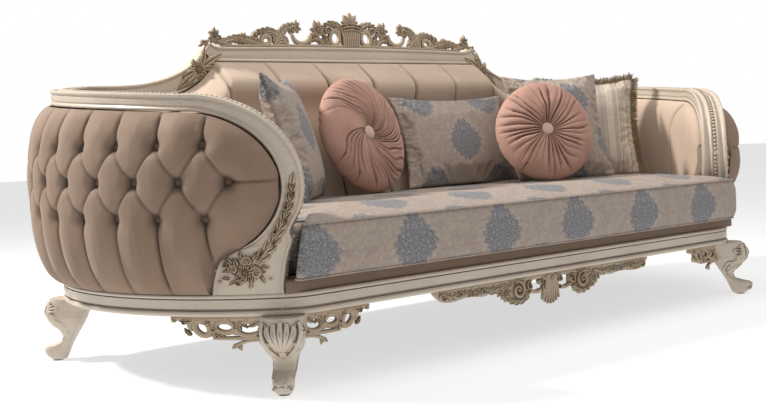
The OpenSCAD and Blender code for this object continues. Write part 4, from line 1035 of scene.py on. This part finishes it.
def shoulderCarvingPiece(side, word):
    bm = bmesh.new()
    x0 = back["halfRail"] + shoulderCarving["from"]
    z0 = shoulderLow(x0) + shoulderCarving["up"]
    turned = radians(shoulderCarving["turned"])

    def ground(x, y, h):
        across = x * cos(turned) - y * sin(turned)
        up = x * sin(turned) + y * cos(turned)
        return Vector(((x0 + across) * side, backY - back["thick"] + 0.004 - h, z0 + up))
    cluster(bm, ground, (0, 0), 0.040, 0.016, 15)
    marks = [("leaf", root, a, length, width * 1.35, 1, curl, 3, 18)
             for root, a, length, width, curl in shoulderCarving["leaves"]]
    carve(bm, ground, shoulderCarving["unit"], marks)
    for x, y, r, start in ((0.052, -0.018, 0.014, 90), (-0.046, 0.018, 0.013, 270)):
        volute(bm, ground, (x, y), r, 1.3, start, -1, 0.006, 0.010)
    return finishCarving(bm, f"shoulderCarving_{word}", f"shoulder_carving_{word}")


for side, word in sides:
    postCarvingPiece(side, word)
    shoulderCarvingPiece(side, word)
print("carvings made")

# Pads are shells of a face, for the first part of the way round them, and a flat back
pad = {
    "face": 0.88, "start": arm["noseQ"] - noseIn + 2 * padGap + 0.0015, "footNear": arm["footQ"] - 0.009,
    "footEdge": [arm["footQ"] - 0.003, arm["footQ"] + 0.002, arm["footQ"] + 0.004]}


def padStops(lead, count, end, rest):  # the places along an arm pad, close together at the post's foot
    stops = [pad["start"]] + [pad["start"] + step for step in lead]
    first, second = stops[-1], pad["footEdge"][-1]
    stops += [mixed(first, pad["footNear"], i / count) for i in range(1, count + 1)] + pad["footEdge"]
    return stops + [mixed(second, end, i / rest) for i in range(1, rest + 1)]


def noseShape(q, length, power):  # 0 at the pad's nose, 1 after the length
    nose = min(1.0, (q + arm["noseOut"] - arm["noseWidth"] + 0.001) / length)
    return (1 - (1 - nose) ** 2.6) ** power


def eased(v):  # halfway between even steps and steps that crowd at both ends
    return mixed(v, 0.5 - 0.5 * cos(pi * v), 0.5)


# Outer arm pads: three staggered rows of buttons, thin folds between them and deep pleats above and below
tufts = {
    "startQ": 0.104, "rows": (0.4518, 0.5449, 0.6369), "slope": 0.022, "pitch": 0.126, "button": 0.0105,
    "swell": 0.083, "fold": 0.0038, "foldWidth": 0.0036, "diamond": 0.006, "pleat": 0.019, "sink": 0.023,
    "sinkWidth": 0.019, "slant": 0.828, "half": 0.052, "around": 150, "steps": 250}


def tuftZ(row, q):
    return tufts["rows"][row] + tufts["slope"] * (q - tufts["startQ"])


def swellEnd(q):
    tail = min(1.0, 1 - 0.82 * (max(0.0, q - endLength - 0.06) / (turnLength - 0.06)) ** 2)
    return tail * noseShape(q, 0.19, 0.55)


def foldAway(u, w, fromMiddle):
    # distance to the nearest fold, from the place along the buttons and between their rows
    pitch, slant = tufts["pitch"], tufts["slant"]
    if abs(w) > 1:
        return abs(u - max(0.5, floor(u) + 0.5)) * pitch * mixed(slant, 1.0, min(1.0, 2 * abs(w) - 2))
    if u < abs(w) / 2:
        front = (abs(w) / 2 - u) * pitch * slant
        return min(front, abs(fromMiddle)) if u < 0 else front
    return min(abs((u + k * w / 2) - round(u + k * w / 2)) for k in (-1, 1)) * pitch * slant


def outerDips(q, z):
    # the nearest fold, the share of the way past the outer rows, and the nearest button
    pitch, middle = tufts["pitch"], tuftZ(1, q)
    u = (q - tufts["startQ"]) / pitch
    w = (z - middle) / (tuftZ(2, q) - middle) if z > middle else (z - middle) / (middle - tuftZ(0, q))
    beyond = share((abs(w) - 0.85) / 0.5)
    k, m = max(0, round(u)), max(0.5, floor(u) + 0.5)
    near = min(hypot((u - k) * pitch, z - middle), *(hypot((u - m) * pitch, z - tuftZ(row, q)) for row in (0, 2)))
    return foldAway(u, w, z - middle), beyond * beyond * (3 - 2 * beyond), near, u


def outerRadius(q, z):
    low, high = panelFoot(q), panelTop(q)
    v = share((z - low) / (high - low))
    body = tufts["swell"] * (max(0.0, 1 - abs(2 * v - 1) ** 3)) ** 0.6 * swellEnd(q)
    away, beyond, near, u = outerDips(q, z)
    deep = mixed(tufts["diamond"], tufts["pleat"], beyond)
    if u < 0.25:
        deep = mixed(deep, tufts["diamond"], min(1.0, (0.25 - u) / 0.5))
    cusp = deep * (1 - min(1.0, away / tufts["half"]) ** 0.55)
    crease = tufts["fold"] * exp(-(away / tufts["foldWidth"]) ** 2)
    sink = tufts["sink"] * exp(-(near / tufts["sinkWidth"]) ** 1.7)
    return body * 0.97 - 0.002 + (0.004 - cusp - crease - sink) * min(1.0, body / 0.045)


# painted shade: how dark the velvet is painted round each button's dimple and along the folds between them
def outerPaintedShade(q, z):
    away, beyond, near, u = outerDips(q, z)
    fold = mixed(0.34, 0.52, beyond) * exp(-(away / 0.0046) ** 2)
    return min(0.92, 0.95 * exp(-(near / 0.0165) ** 2) + fold)


def outerPad(side, word):
    bm = bmesh.new()
    stops = padStops([0.004, 0.010], 44, backQ - 0.006, tufts["steps"])
    rows, front = len(stops) - 1, pad["face"]

    def place(s, t):
        q = stops[round(s * rows)]
        low, high = padFoot(q), padHead(q)
        if t <= front:
            z = mixed(low, high, eased(t / front))
            return onWall(q, outerRadius(q, z), z, side)
        k = (t - front) / (1 - front)
        edge = min(1.0, 8 * k, 8 * (1 - k))
        return onWall(q, -0.022 * edge - 0.002 * (1 - edge), mixed(high, low, k), side)

    # painted shade on the face, from the dimples and folds; none on the flat back
    def paintedShade(s, t):
        q = stops[round(s * rows)]
        return outerPaintedShade(q, mixed(padFoot(q), padHead(q), eased(t / front))) if t < front else 0.0
    shell(bm, rows, tufts["around"], place, paintedShade)
    finishPiece(bm, f"outerArmPad_{word}", "taupe", "frame", [f"arm_outer_pad_{word}"])
    caps = bmesh.new()
    for row in range(3):
        for k in range(9):
            q = tufts["startQ"] + tufts["pitch"] * (k + (0 if row == 1 else 0.5))
            if q < backQ - 0.030:
                z = tuftZ(row, q)
                made = bmesh.ops.create_uvsphere(caps, u_segments=18, v_segments=10, radius=tufts["button"])["verts"]
                spot, away = wall(q, outerRadius(q, z) + 0.004), turn(heading(q))
                for v in made:
                    flat = v.co.copy()
                    out = Vector((away.x, away.y, 0)) * flat.z * 0.55 + Vector((-away.y, away.x, 0)) * flat.x
                    v.co = Vector(((spot.x + out.x) * side, spot.y + out.y, z + flat.y))
    # the buttons take the darker copy of the taupe velvet: painted shade, as they sit deep in the dimples
    finishPiece(caps, f"tuftButtons_{word}", "shadedTaupe", "frame", [f"tufting_buttons_{word}"])


# Inner arm pads: plain, with one arched seam near the front
innerPad = {
    "swell": 0.038, "seamQ": 0.300, "seamDrop": 0.150, "seamDepth": 0.0085, "seamWidth": 0.0058, "back": 0.058,
    "end": 0.239}


def innerRadius(q, z, low, high):
    v = share((z - low) / (high - low))
    crown = 1.0 if v < 0.5 else (max(0.0, 1 - (2 * v - 1) ** 4)) ** 0.6
    body = innerPad["swell"] * noseShape(q, 0.12, 0.5) * crown * (0.92 + 0.08 * sin(q * 9))
    bendZ, top = 0.585, padHead(innerPad["seamQ"]) - 0.012
    if z < bendZ:
        away = abs(q - innerPad["seamQ"])
    else:
        wide, tall = innerPad["seamDrop"], top - bendZ
        x, y = (q - innerPad["seamQ"] + wide) / wide, (z - bendZ) / tall
        away = abs(hypot(x, y) - 1) * min(wide, tall) if q > innerPad["seamQ"] - wide else abs(z - top)
    seam = innerPad["seamDepth"] * exp(-(away / innerPad["seamWidth"]) ** 2) * min(1.0, body / 0.02)
    return arm["thick"] + body - seam


def innerArmPad(side, word):
    bm = bmesh.new()
    endPhi = acos(-(backY - innerPad["end"] - endCentre.y) / (plan["endRadius"] - arm["thick"] - innerPad["swell"]))
    end = (endPhi - radians(plan["cornerAngle"])) * plan["endRadius"]
    stops = padStops([0.005], 34, end, 120)
    rows, front = len(stops) - 1, pad["face"]

    def place(s, t):
        q = stops[round(s * rows)]
        low, high = max(rise["deck"] + 0.0005, padFoot(q)), padHead(q)
        if t <= front:
            v = sin(pi / 2 * t / front) ** 0.9
            z = mixed(low, high, v)
            return onWall(q, -innerRadius(q, z, low, high), z, side)
        k = (t - front) / (1 - front)
        return onWall(q, -innerPad["back"] - 0.02 * (1 - min(1.0, 6 * k, 6 * (1 - k))), mixed(high, low, k), side)
    shell(bm, rows, 92, place)
    finishPiece(bm, f"innerArmPad_{word}", "blush", "frame", [f"arm_inner_pad_{word}"])


# Back pad in upright channels, its head rolled back under the top rail
backPad = {
    "depth": 0.231, "rake": 16, "swell": 0.022, "channels": 6, "seam": 0.010, "seamWidth": 0.0045, "roll": 0.080,
    "cover": 0.008, "stile": 0.044, "bulge": 0.040, "bulgeDrop": 0.085, "bulgeWidth": 0.060}


channel = 2 * back["halfRail"] / backPad["channels"]


def fromSeam(x):
    return abs(x / channel - round(x / channel)) * channel


def padFace(x, z, high):
    face = backY - backPad["depth"] + tan(radians(backPad["rake"])) * max(0.0, z - rise["seatTop"])
    away = fromSeam(x)
    hump = min(1.0, away / (channel / 2)) ** 0.36
    down = (high - z) / backPad["roll"]
    roll = 1 - sqrt(max(0.0, 1 - (1 - min(1.0, down)) ** 2))
    face -= backPad["swell"] * (0.2 + 0.8 * hump) * (1 - roll)
    face += backPad["seam"] * exp(-(away / backPad["seamWidth"]) ** 2)
    face -= backPad["bulge"] * exp(-((high - z - backPad["bulgeDrop"]) / backPad["bulgeWidth"]) ** 2)
    return mixed(face, backY - back["thick"] - 0.004, roll)


def backPadPiece():
    bm = bmesh.new()
    half = rearCentre.x + 0.042
    rows, front = 432, pad["face"]
    low = rise["deck"] + 0.0005
    rearY = backY - backPad["cover"] - backPad["stile"]

    def place(s, t):
        x = mixed(-half, half, s)
        ax = abs(x)
        high = (back["height"] - back["railHeight"] if ax < back["halfRail"] - 0.012
                else shoulderLow(min(ax, rearCentre.x))) - padGap
        rear = rearY
        if ax > rearCentre.x:
            bend = plan["rearRadius"] - arm["thick"] - 0.004
            rear = min(rear, rearCentre.y + sqrt(bend ** 2 - (ax - rearCentre.x) ** 2))
        if t <= front:
            v = sin(pi / 2 * t / front)
            z = mixed(low, high, v)
            return Vector((x, min(rear - 0.006, padFace(x, z, high)), z))
        k = (t - front) / (1 - front)
        return Vector((x, rear - 0.004 * (1 - min(1.0, 6 * k, 6 * (1 - k))), mixed(high, low, k)))

    # painted shade: the velvet is painted darker along each channel seam
    def paintedShade(s, t):
        x = mixed(-half, half, s)
        return 0.55 * exp(-(fromSeam(x) / 0.0042) ** 2) if t < front and abs(x) < back["halfRail"] + 0.01 else 0.0
    shell(bm, rows, 84, place, paintedShade)
    finishPiece(bm, "backPad", "blush", "frame", ["back_pad"])


for side, word in sides:
    outerPad(side, word)
    innerArmPad(side, word)
backPadPiece()
print("arm and back pads made")


def softened(node, name, finish, edge):
    # a copy of the node's mesh with its edges rounded over
    bm = bmesh.new()
    bm.from_mesh(frame["nodes"][node].data)
    bmesh.ops.remove_doubles(bm, verts=bm.verts, dist=1e-5)
    bmesh.ops.dissolve_limit(bm, angle_limit=radians(4), verts=bm.verts, edges=bm.edges)
    bmesh.ops.bevel(bm, geom=[e for e in bm.edges if e.calc_face_angle(0) > 0.6], offset=edge, segments=3,
                    affect="EDGES", profile=0.5, material=-1)
    bmesh.ops.triangulate(bm, faces=[f for f in bm.faces if len(f.verts) > 4])
    finishPiece(bm, name, finish, "frame", [node], sharp=50)


softened("seat_deck", "deckCover", "deck", 0.004)
softened("back_outer_cover", "outerBackCover", "taupe", 0.002)


# The long seat cushion: a boxed shape swelled by a cloth run, with a welt round its top and bottom edges
cushion = {
    "out": 0.044, "bow": 0.002, "welt": 0.0024, "voxel": 0.012, "pressure": 4.0, "cap": 0.010,
    "leftQ": (-0.060, -0.069), "leftLowQ": (-0.032, -0.048), "rightQ": (-0.079, -0.079),
    "lowRings": [(300, 0), (20, 0), (8, 4), (2, 12), (-1, 30), (-2, 75)],
    "highRings": [(-1, -30), (2, -13), (8, -3), (20, 4), (40, 10), (70, 15), (105, 18), (150, 19.5), (200, 20),
        (300, 20)]}


def alongPost(q, y):
    p, d = wall(q, 0), turn(heading(q))
    return p + d * ((y - p.y) / d.y)


def rounded(a, b, c, n):
    return [mixed(mixed(a, b, i / n), mixed(b, c, i / n), i / n) for i in range(n + 1)]


def cushionLine(tipQ, q):
    y = frontY - cushion["out"]
    inset = arm["thick"] + 0.038 + 0.004
    rearEdge = backY - backPad["depth"] - backPad["swell"] - 0.002
    tip, d, inner = alongPost(tipQ, y), turn(heading(q)), wall(q, -arm["thick"] - 0.028)
    rearPhi = degrees(acos(-(rearEdge - endCentre.y) / (plan["endRadius"] - inset)))
    rearQ = (rearPhi - plan["cornerAngle"]) * plan["endRadius"] * pi / 180

    def bow(x):
        return cushion["bow"] * (1 - (x / tip.x) ** 2)
    line = [Vector((x, y - bow(x))) for x in [0.04 + 0.08 * i for i in range(11)]]
    line += rounded(tip - Vector((0.034, 0)), tip, mixed(tip, wall(q, 0.0), 0.8), 8)
    line += rounded(mixed(wall(q, 0.0), inner, 0.55), inner, wall(0.060, -inset), 8)
    line += [wall(0.060 + (rearQ - 0.100) * i / 16, -inset) for i in range(1, 17)]
    corner = wall(rearQ, -inset)
    line += rounded(wall(rearQ - 0.022, -inset), corner, Vector((corner.x - 0.040, rearEdge)), 6)
    return line + [Vector((x, rearEdge + bow(x))) for x in [0.96 - 0.08 * i for i in range(12)]]


def roundLine(left):
    return cushionLine(*cushion["rightQ"]) + [Vector((-p.x, p.y)) for p in reversed(cushionLine(*cushion[left]))]


wholeLine, lowLine = roundLine("leftQ"), roundLine("leftLowQ")


def insetPoint(p, inset):
    return Vector((p.x * (1 - inset / max(abs(p.x), 0.4)), p.y * (1 - inset / max(abs(p.y), 0.4))))


def weltPiece(name, line, z, inset, flat):
    points, radius = [insetPoint(p, inset) for p in line], cushion["welt"]
    count = len(points)
    bm = bmesh.new()

    def place(s, t):
        i = round(s * count) % count
        here, way = points[i], (points[(i + 1) % count] - points[i - 1]).normalized()
        a = 2 * pi * t
        spot = here + Vector((way.y, -way.x)) * cos(a) * radius
        return Vector((spot.x, spot.y, z + sin(a) * radius))
    shell(bm, count, 10, place)
    bm.normal_update()
    mapCloth(bm, flat)
    finishPiece(bm, name, "damask", "cushion", [])


def clothRun(bm, name, frames, pressure, pinned, stiff, bending, shrink=0.0):
    # swells a closed mesh with Blender's cloth and gives it back as a bmesh, its cloth map kept
    trial = linked(name, meshOf(bm, name))
    run = trial.modifiers.new("swell", "CLOTH")
    for key, value in {"quality": 5, "mass": 0.3, "tension_stiffness": stiff, "compression_stiffness": stiff,
                       "shear_stiffness": stiff * 0.5, "bending_stiffness": bending, "use_pressure": True,
                       "uniform_pressure_force": pressure, "shrink_min": shrink}.items():
        setattr(run.settings, key, value)
    run.settings.effector_weights.gravity = 0
    run.collision_settings.use_collision = False
    trial.vertex_groups.new(name="pin").add(pinned, 1.0, "REPLACE")
    run.settings.vertex_group_mass = "pin"
    run.point_cache.frame_start, run.point_cache.frame_end = 1, frames
    for number in range(1, frames + 1):
        bpy.context.scene.frame_set(number)
    out = baked(trial)
    bpy.context.scene.frame_set(1)
    return out


def remeshed(bm, name, voxel):
    block = linked(name, meshOf(bm, name))
    net = block.modifiers.new("net", "REMESH")
    net.mode = "VOXEL"
    net.voxel_size = voxel
    return baked(block)


def mapCloth(bm, spot):
    # flat cloth coordinates, in metres, from each corner's place and its face
    layer = bm.loops.layers.uv.get("cloth") or bm.loops.layers.uv.new("cloth")
    for face in bm.faces:
        for loop in face.loops:
            loop[layer].uv = spot(loop.vert.co, face.normal)


def cushionPiece():
    bottom, top = rise["seat"], rise["seatTop"]
    rings = [(inset / 1000, bottom + up / 1000) for inset, up in cushion["lowRings"]]
    rings += [(inset / 1000, top + up / 1000) for inset, up in cushion["highRings"]]
    count = len(wholeLine)
    bm = bmesh.new()

    def place(s, t):
        inset, z = rings[round(s * (len(rings) - 1))]
        i = round(t * count) % count
        p = insetPoint(mixed(lowLine[i], wholeLine[i], min(1.0, (z - bottom) / (top - bottom))), inset)
        return Vector((p.x, p.y, z))
    shell(bm, len(rings) - 1, count, place)
    bmesh.ops.recalc_face_normals(bm, faces=bm.faces)
    bm = remeshed(bm, "cushionTrial", cushion["voxel"])
    start = [v.co.copy() for v in bm.verts]
    held = [v.index for v in bm.verts if v.co.z < bottom + 0.004
            or (abs(v.co.z - (top - 0.002)) < 0.007 and v.normal.z < 0.9)
            or (abs(v.co.z - (bottom + 0.006)) < 0.007)]
    bm = clothRun(bm, "cushionTrial", 20, cushion["pressure"], held, stiff=12, bending=0.4)
    bm.verts.ensure_lookup_table()
    for v, was in zip(bm.verts, start):
        move = v.co - was
        if move.length > cushion["cap"]:
            v.co = was + move * cushion["cap"] / move.length
    for v in bm.verts:
        if v.co.z > top + 0.004:
            ripple = fuzz.noise(Vector((v.co.x * 9, v.co.y * 5, 3.1))) * 0.0022 + fuzz.noise(v.co * 26) * 0.0006
            v.co.z += ripple
        v.co.z = min(v.co.z, rise["sit"] + 0.0002) if v.co.y > frontY + 0.16 else v.co.z
        v.co.z = max(v.co.z, bottom)
    bm.normal_update()

    def flat(co, normal):
        if abs(normal.z) > 0.62:
            return (co.x - 0.060, co.y + 0.06)
        return (co.x - 0.060, co.z - 0.354)
    mapCloth(bm, flat)
    finishPiece(bm, "seatCushion", "damask", "cushion", ["seat_cushion"])
    for name, line, z, inset in (("cushionWeltTop", wholeLine, top - 0.0030, 0.0065),
                                 ("cushionWeltBottom", lowLine, bottom + 0.0060, 0.0070)):
        weltPiece(name, line, z, inset, flat)


cushionPiece()
print("seat cushion made")

# Loose pillows, each set out by its middle in plan, its height and its turn about the upright
pillows = {
    "lean": 16, "fit": 0.0005, "padY": backY - backPad["depth"], "round": {"thick": 0.112},
    "square": {"across": 0.420, "thick": 0.120, "pinch": 0.10},
    "lumbar": {"across": 0.576, "high": 0.350, "thick": 0.110}, "striped": {"across": 0.396, "thick": 0.120}}
square, lumbar, striped = pillows["square"], pillows["lumbar"], pillows["striped"]


def leanAt(x, y, high, yaw):
    lean = radians(pillows["lean"])
    return (Matrix.Translation((x, pillows["padY"] + y, rise["sit"] + pillows["fit"] + high / 2 * cos(lean)))
            @ Matrix.Rotation(radians(yaw), 4, "Z") @ Matrix.Rotation(-lean, 4, "X"))


def settled(bm, where):  # put in place, with what would sink into the cushion pressed flat on it
    for v in bm.verts:
        v.co = where @ v.co
        v.co.z = max(v.co.z, rise["sit"] + 0.0006)


def squarePillow(name, node, finish, size, spot, seed, shift=(0, 0), cells=58):
    across, high, thick = size
    bm = bmesh.new()
    wide, tall = cells, max(20, round(cells * high / across))

    def place(s, t):
        u, w = 2 * s - 1, 1 - 2 * abs(2 * t - 1)
        full = max(0.0, (1 - u * u) * (1 - w * w)) ** 0.42
        x = u * (1 - square["pinch"] * (1 - w * w))
        z = w * (1 - square["pinch"] * (1 - u * u) * (1.0 if w > 0 else 0.2))
        return Vector((x * across / 2, (-1 if t < 0.5 else 1) * thick / 2 * full, z * high / 2))
    shell(bm, wide, tall * 2, place)
    bmesh.ops.recalc_face_normals(bm, faces=bm.faces)
    layer = bm.loops.layers.uv.new("cloth")
    for face in bm.faces:
        for loop in face.loops:
            loop[layer].uv = (loop.vert.co.x + shift[0], loop.vert.co.z + shift[1])
    rng = random.Random(seed)
    for v in bm.verts:
        v.co.y += (rng.random() - 0.5) * 0.0008 if abs(v.co.y) > 0.002 else 0.0
    start = [v.co.copy() for v in bm.verts]
    held = [v.index for v in bm.verts if abs(v.co.y) < 0.002]
    bm = clothRun(bm, name + "Trial", 16, 3.0, held, stiff=14, bending=0.15, shrink=-0.05)
    for v, was in zip(bm.verts, start):
        move = v.co - was
        v.co = was + move * min(1.0, 0.012 / max(move.length, 0.0001))
    bmesh.ops.subdivide_edges(bm, edges=bm.edges, cuts=1, smooth=1.0, use_grid_fill=True)
    for i, goal in enumerate((across, thick, high)):
        places = [v.co[i] for v in bm.verts]
        size, middle = max(places) - min(places), (max(places) + min(places)) / 2
        for v in bm.verts:
            v.co[i] = (v.co[i] - middle) * goal / size * 0.992
    settled(bm, leanAt(*spot))
    finishPiece(bm, name, finish, node + "_body", [node])


gather = {"depth": 0.0135, "sharp": 0.46, "steps": 12, "wander": 0.16, "button": 0.025}


def roundPillow(word, spot, seed, count, swirl, size, plain):
    radius, half = size / 2, pillows["round"]["thick"] / 2
    rng = random.Random(seed)
    strong = [[rng.choice((0.45, 0.7, 0.9, 1.15)) * rng.uniform(0.85, 1.1) for _ in range(count)] for _ in range(2)]
    reach = [[rng.uniform(0.80, 1.15) for _ in range(count)] for _ in range(2)]
    bm = bmesh.new()

    def fold(a, rho, face):  # 0 on a pleat's ridge, 1 in the fold beside it
        wave = fuzz.noise(Vector((cos(a) * 2.6, sin(a) * 2.6, rho * 1.8 + seed))) * gather["wander"]
        turned = a + swirl * (1 - rho) ** 1.2 + wave
        turns = turned / (2 * pi) * count
        k = int(floor(turns + 0.5)) % count
        valley = 1 - abs(sin(pi * turns)) ** gather["sharp"]
        fade = share((reach[face][k] - rho) / 0.22)
        if plain and face == 0 and plain[0] < degrees(turned) % 360 < plain[1]:
            fade *= 0.08
        return valley * strong[face][k] * fade

    def spread(s):
        return sin(pi * mixed(0.022, 0.978, s))

    def place(s, t):
        a, face, rho = 2 * pi * t, 0 if s < 0.5 else 1, spread(s)
        dome = max(0.0, 1 - rho ** 3.4) ** 0.5
        dimple = 0.55 * exp(-(rho / 0.22) ** 1.4)
        crease = gather["depth"] * fold(a, rho, face) * min(1.0, 4.5 * rho)
        lumps = fuzz.noise(Vector((cos(a) * rho * 3, sin(a) * rho * 3, seed * 1.7 + face))) * 0.006
        r = radius * rho * (1 + 0.012 * sin(3 * a + seed)) / 1.012 - crease * (0.8 if rho > 0.85 else 0.0)
        y = max(0.0, half * dome * (1 - dimple) + lumps * dome - crease * (0.3 + 0.7 * dome))
        return Vector((r * cos(a), -y if face == 0 else y, r * sin(a)))

    # painted shade: the velvet is painted darker in the folds and round the button in the middle
    def paintedShade(s, t):
        rho = spread(s)
        return min(0.95, 0.95 * fold(2 * pi * t, rho, 0 if s < 0.5 else 1) ** 1.3 + 0.5 * exp(-(rho / 0.15) ** 2))
    shell(bm, 84, count * gather["steps"], place, paintedShade)
    where = leanAt(*spot)
    settled(bm, where)
    body = f"round_pillow_{word}_body"
    finishPiece(bm, f"roundPillow_{word}", "pink", body, [f"round_pillow_{word}"])
    cap = bmesh.new()
    made = bmesh.ops.create_uvsphere(cap, u_segments=28, v_segments=16, radius=gather["button"])["verts"]
    for v in made:
        flat = v.co.copy()
        v.co = where @ Vector((flat.x, -half * 0.54 + flat.z * 0.4, flat.y))
    finishPiece(cap, f"roundCap_{word}", "paleCap", body, [f"round_button_{word}"])


def pillowSize(look):
    return look["across"], look.get("high", look["across"]), look["thick"]


stripedSpot = (0.890, -0.182, striped["across"], -42)
squarePillow("damaskPillow_left", "damask_pillow_left", "damask", pillowSize(square),
             (-0.533, -0.160, square["across"], 45), 3, (0.040, -0.020))
roundPillow("left", (-0.196, -0.095, 0.418, 13), 11, 44, 1.1, 0.418, (168, 204))
squarePillow("lumbarPillow", "lumbar_pillow", "damask", pillowSize(lumbar),
             (0.296, -0.042, lumbar["high"], 0), 5, (0.0, 0.010), 76)
roundPillow("right", (0.512, -0.292, 0.382, -25), 23, 34, 0.15, 0.382, None)
squarePillow("damaskPillow_right", "damask_pillow_right", "damask", pillowSize(square),
             (0.672, -0.220, square["across"], -18), 7, (0.120, 0.080))
squarePillow("stripedPillow", "striped_pillow", "stripes", pillowSize(striped), stripedSpot, 9)
print("pillows made")


# Brush fringe along the sides and head of the striped pillow: short curled yarns on a braid
def fringePiece():
    look = {"long": 0.030, "yarn": 0.0015, "count": 680, "seed": 17}
    size = striped["across"] * 0.992
    where, rng = leanAt(*stripedSpot), random.Random(look["seed"])
    bm = bmesh.new()

    def pinch(v):
        return 1 - square["pinch"] * (1 - v * v)
    corners = [Vector((x, 0, z)) for x, z in ((-1, -1), (-1, 1), (1, 1), (1, -1))]
    for a, b in zip(corners, corners[1:]):
        out = (a + b) / 2
        for i in range(look["count"]):
            p = mixed(a, b, (i + rng.random() * 0.8) / look["count"])
            root = Vector((p.x * pinch(p.z), 0, p.z * pinch(p.x))) * size / 2
            sideways = Vector((out.z, 0, out.x))
            length = look["long"] * rng.uniform(0.72, 1.0)
            drift, lean = sideways * rng.uniform(-0.5, 0.5), rng.uniform(-0.55, 0.55)
            start = root - out * 0.006 + Vector((0, rng.uniform(-0.007, 0.007), 0))

            def place(s, t, start=start, out=out, sideways=sideways, drift=drift, lean=lean, length=length):
                a, wide = 2 * pi * t, look["yarn"] * (1 - 0.5 * s)
                way = out + drift * s * 1.2 + Vector((0, lean * s, 0))
                here = start + way.normalized() * (length + 0.006) * s
                return where @ (here + sideways * cos(a) * wide + Vector((0, sin(a) * wide, 0)))
            shell(bm, 4, 4, place)
    for v in bm.verts:
        v.co.z = max(v.co.z, rise["sit"] + 0.0008)
    finishPiece(bm, "pillowFringe", "yarn", "striped_pillow_body", ["pillow_fringe"])


fringePiece()
print("fringe made")

# Floor, light and camera: a hard light from behind on the left, a soft one above, little from the front
stage = {
    "floor": (0.40, 0.40, 0.40), "glow": 0.64, "ambient": (0.97, 0.98, 1.0), "ambientStrength": 0.30, "backdrop": 1.0}


def stageSet():
    bm = bmesh.new()
    bmesh.ops.create_grid(bm, x_segments=1, y_segments=1, size=30)
    mesh = meshOf(bm, "studioFloor")
    stand = linked("studioFloor", mesh)
    f = Finish("paleFloor", "", roughness=0.9)
    f.set("Base Color", (*stage["floor"], 1))
    f.set("Emission Color", (1, 1, 1, 1))
    f.set("Emission Strength", stage["glow"])
    mesh.materials.append(f.material)
    world = bpy.data.worlds.new("studio")
    bpy.context.scene.world = world
    world.use_nodes = True
    nodes, links = world.node_tree.nodes, world.node_tree.links
    light, shown, both = nodes["Background"], nodes.new("ShaderNodeBackground"), nodes.new("ShaderNodeMixShader")
    for node, colour, strength in ((light, stage["ambient"], stage["ambientStrength"]),
                                   (shown, (1, 1, 1), stage["backdrop"])):
        node.inputs["Color"].default_value = (*colour, 1)
        node.inputs["Strength"].default_value = strength
    links.new(nodes.new("ShaderNodeLightPath").outputs["Is Camera Ray"], both.inputs[0])
    links.new(light.outputs[0], both.inputs[1])
    links.new(shown.outputs[0], both.inputs[2])
    links.new(both.outputs[0], nodes["World Output"].inputs["Surface"])
    lamps = {
        "window": {"at": (-2.9, 2.5, 3.7), "aim": (0.2, 0, 0.5), "size": 0.5, "power": 300, "tint": (1.0, 0.97, 0.93)},
        "front": {"at": (-2.0, -3.8, 2.6), "aim": (0, 0, 0.5), "size": 3.0, "power": 12, "tint": (1.0, 0.98, 0.96)},
        "top": {"at": (0.4, -0.5, 3.6), "aim": (0, 0.2, 0), "size": 2.6, "power": 70, "tint": (1.0, 0.98, 0.95)}}
    for name, lamp in lamps.items():
        light = bpy.data.lights.new(name, "AREA")
        light.energy, light.size, light.color = lamp["power"], lamp["size"], lamp["tint"]
        holder = linked(name, light)
        holder.location = lamp["at"]
        holder.rotation_euler = (Vector(lamp["aim"]) - Vector(lamp["at"])).to_track_quat("-Z", "Y").to_euler()


stageSet()
view = {"at": (-2.5767, -2.7856, 0.6230), "yaw": 39.67, "pitch": -3.18, "roll": -2.82, "focal": 1100, "frameWidth": 766}
yaw, pitch, roll = (radians(view[k]) for k in ("yaw", "pitch", "roll"))
ahead = Vector((sin(yaw) * cos(pitch), cos(yaw) * cos(pitch), sin(pitch)))
level = Vector((cos(yaw), -sin(yaw), 0))
upright = level.cross(ahead)
rightWay = cos(roll) * level + sin(roll) * upright
upWay = -sin(roll) * level + cos(roll) * upright
camera = linked("camera", bpy.data.cameras.new("camera"))
camera.data.sensor_width = 36
camera.data.lens = 36 * view["focal"] / view["frameWidth"]
camera.data.clip_start = 0.05
camera.matrix_world = Matrix.Translation(view["at"]) @ Matrix((rightWay, upWay, -ahead)).transposed().to_4x4()
bpy.context.scene.camera = camera
bpy.context.scene.view_settings.view_transform = "Standard"
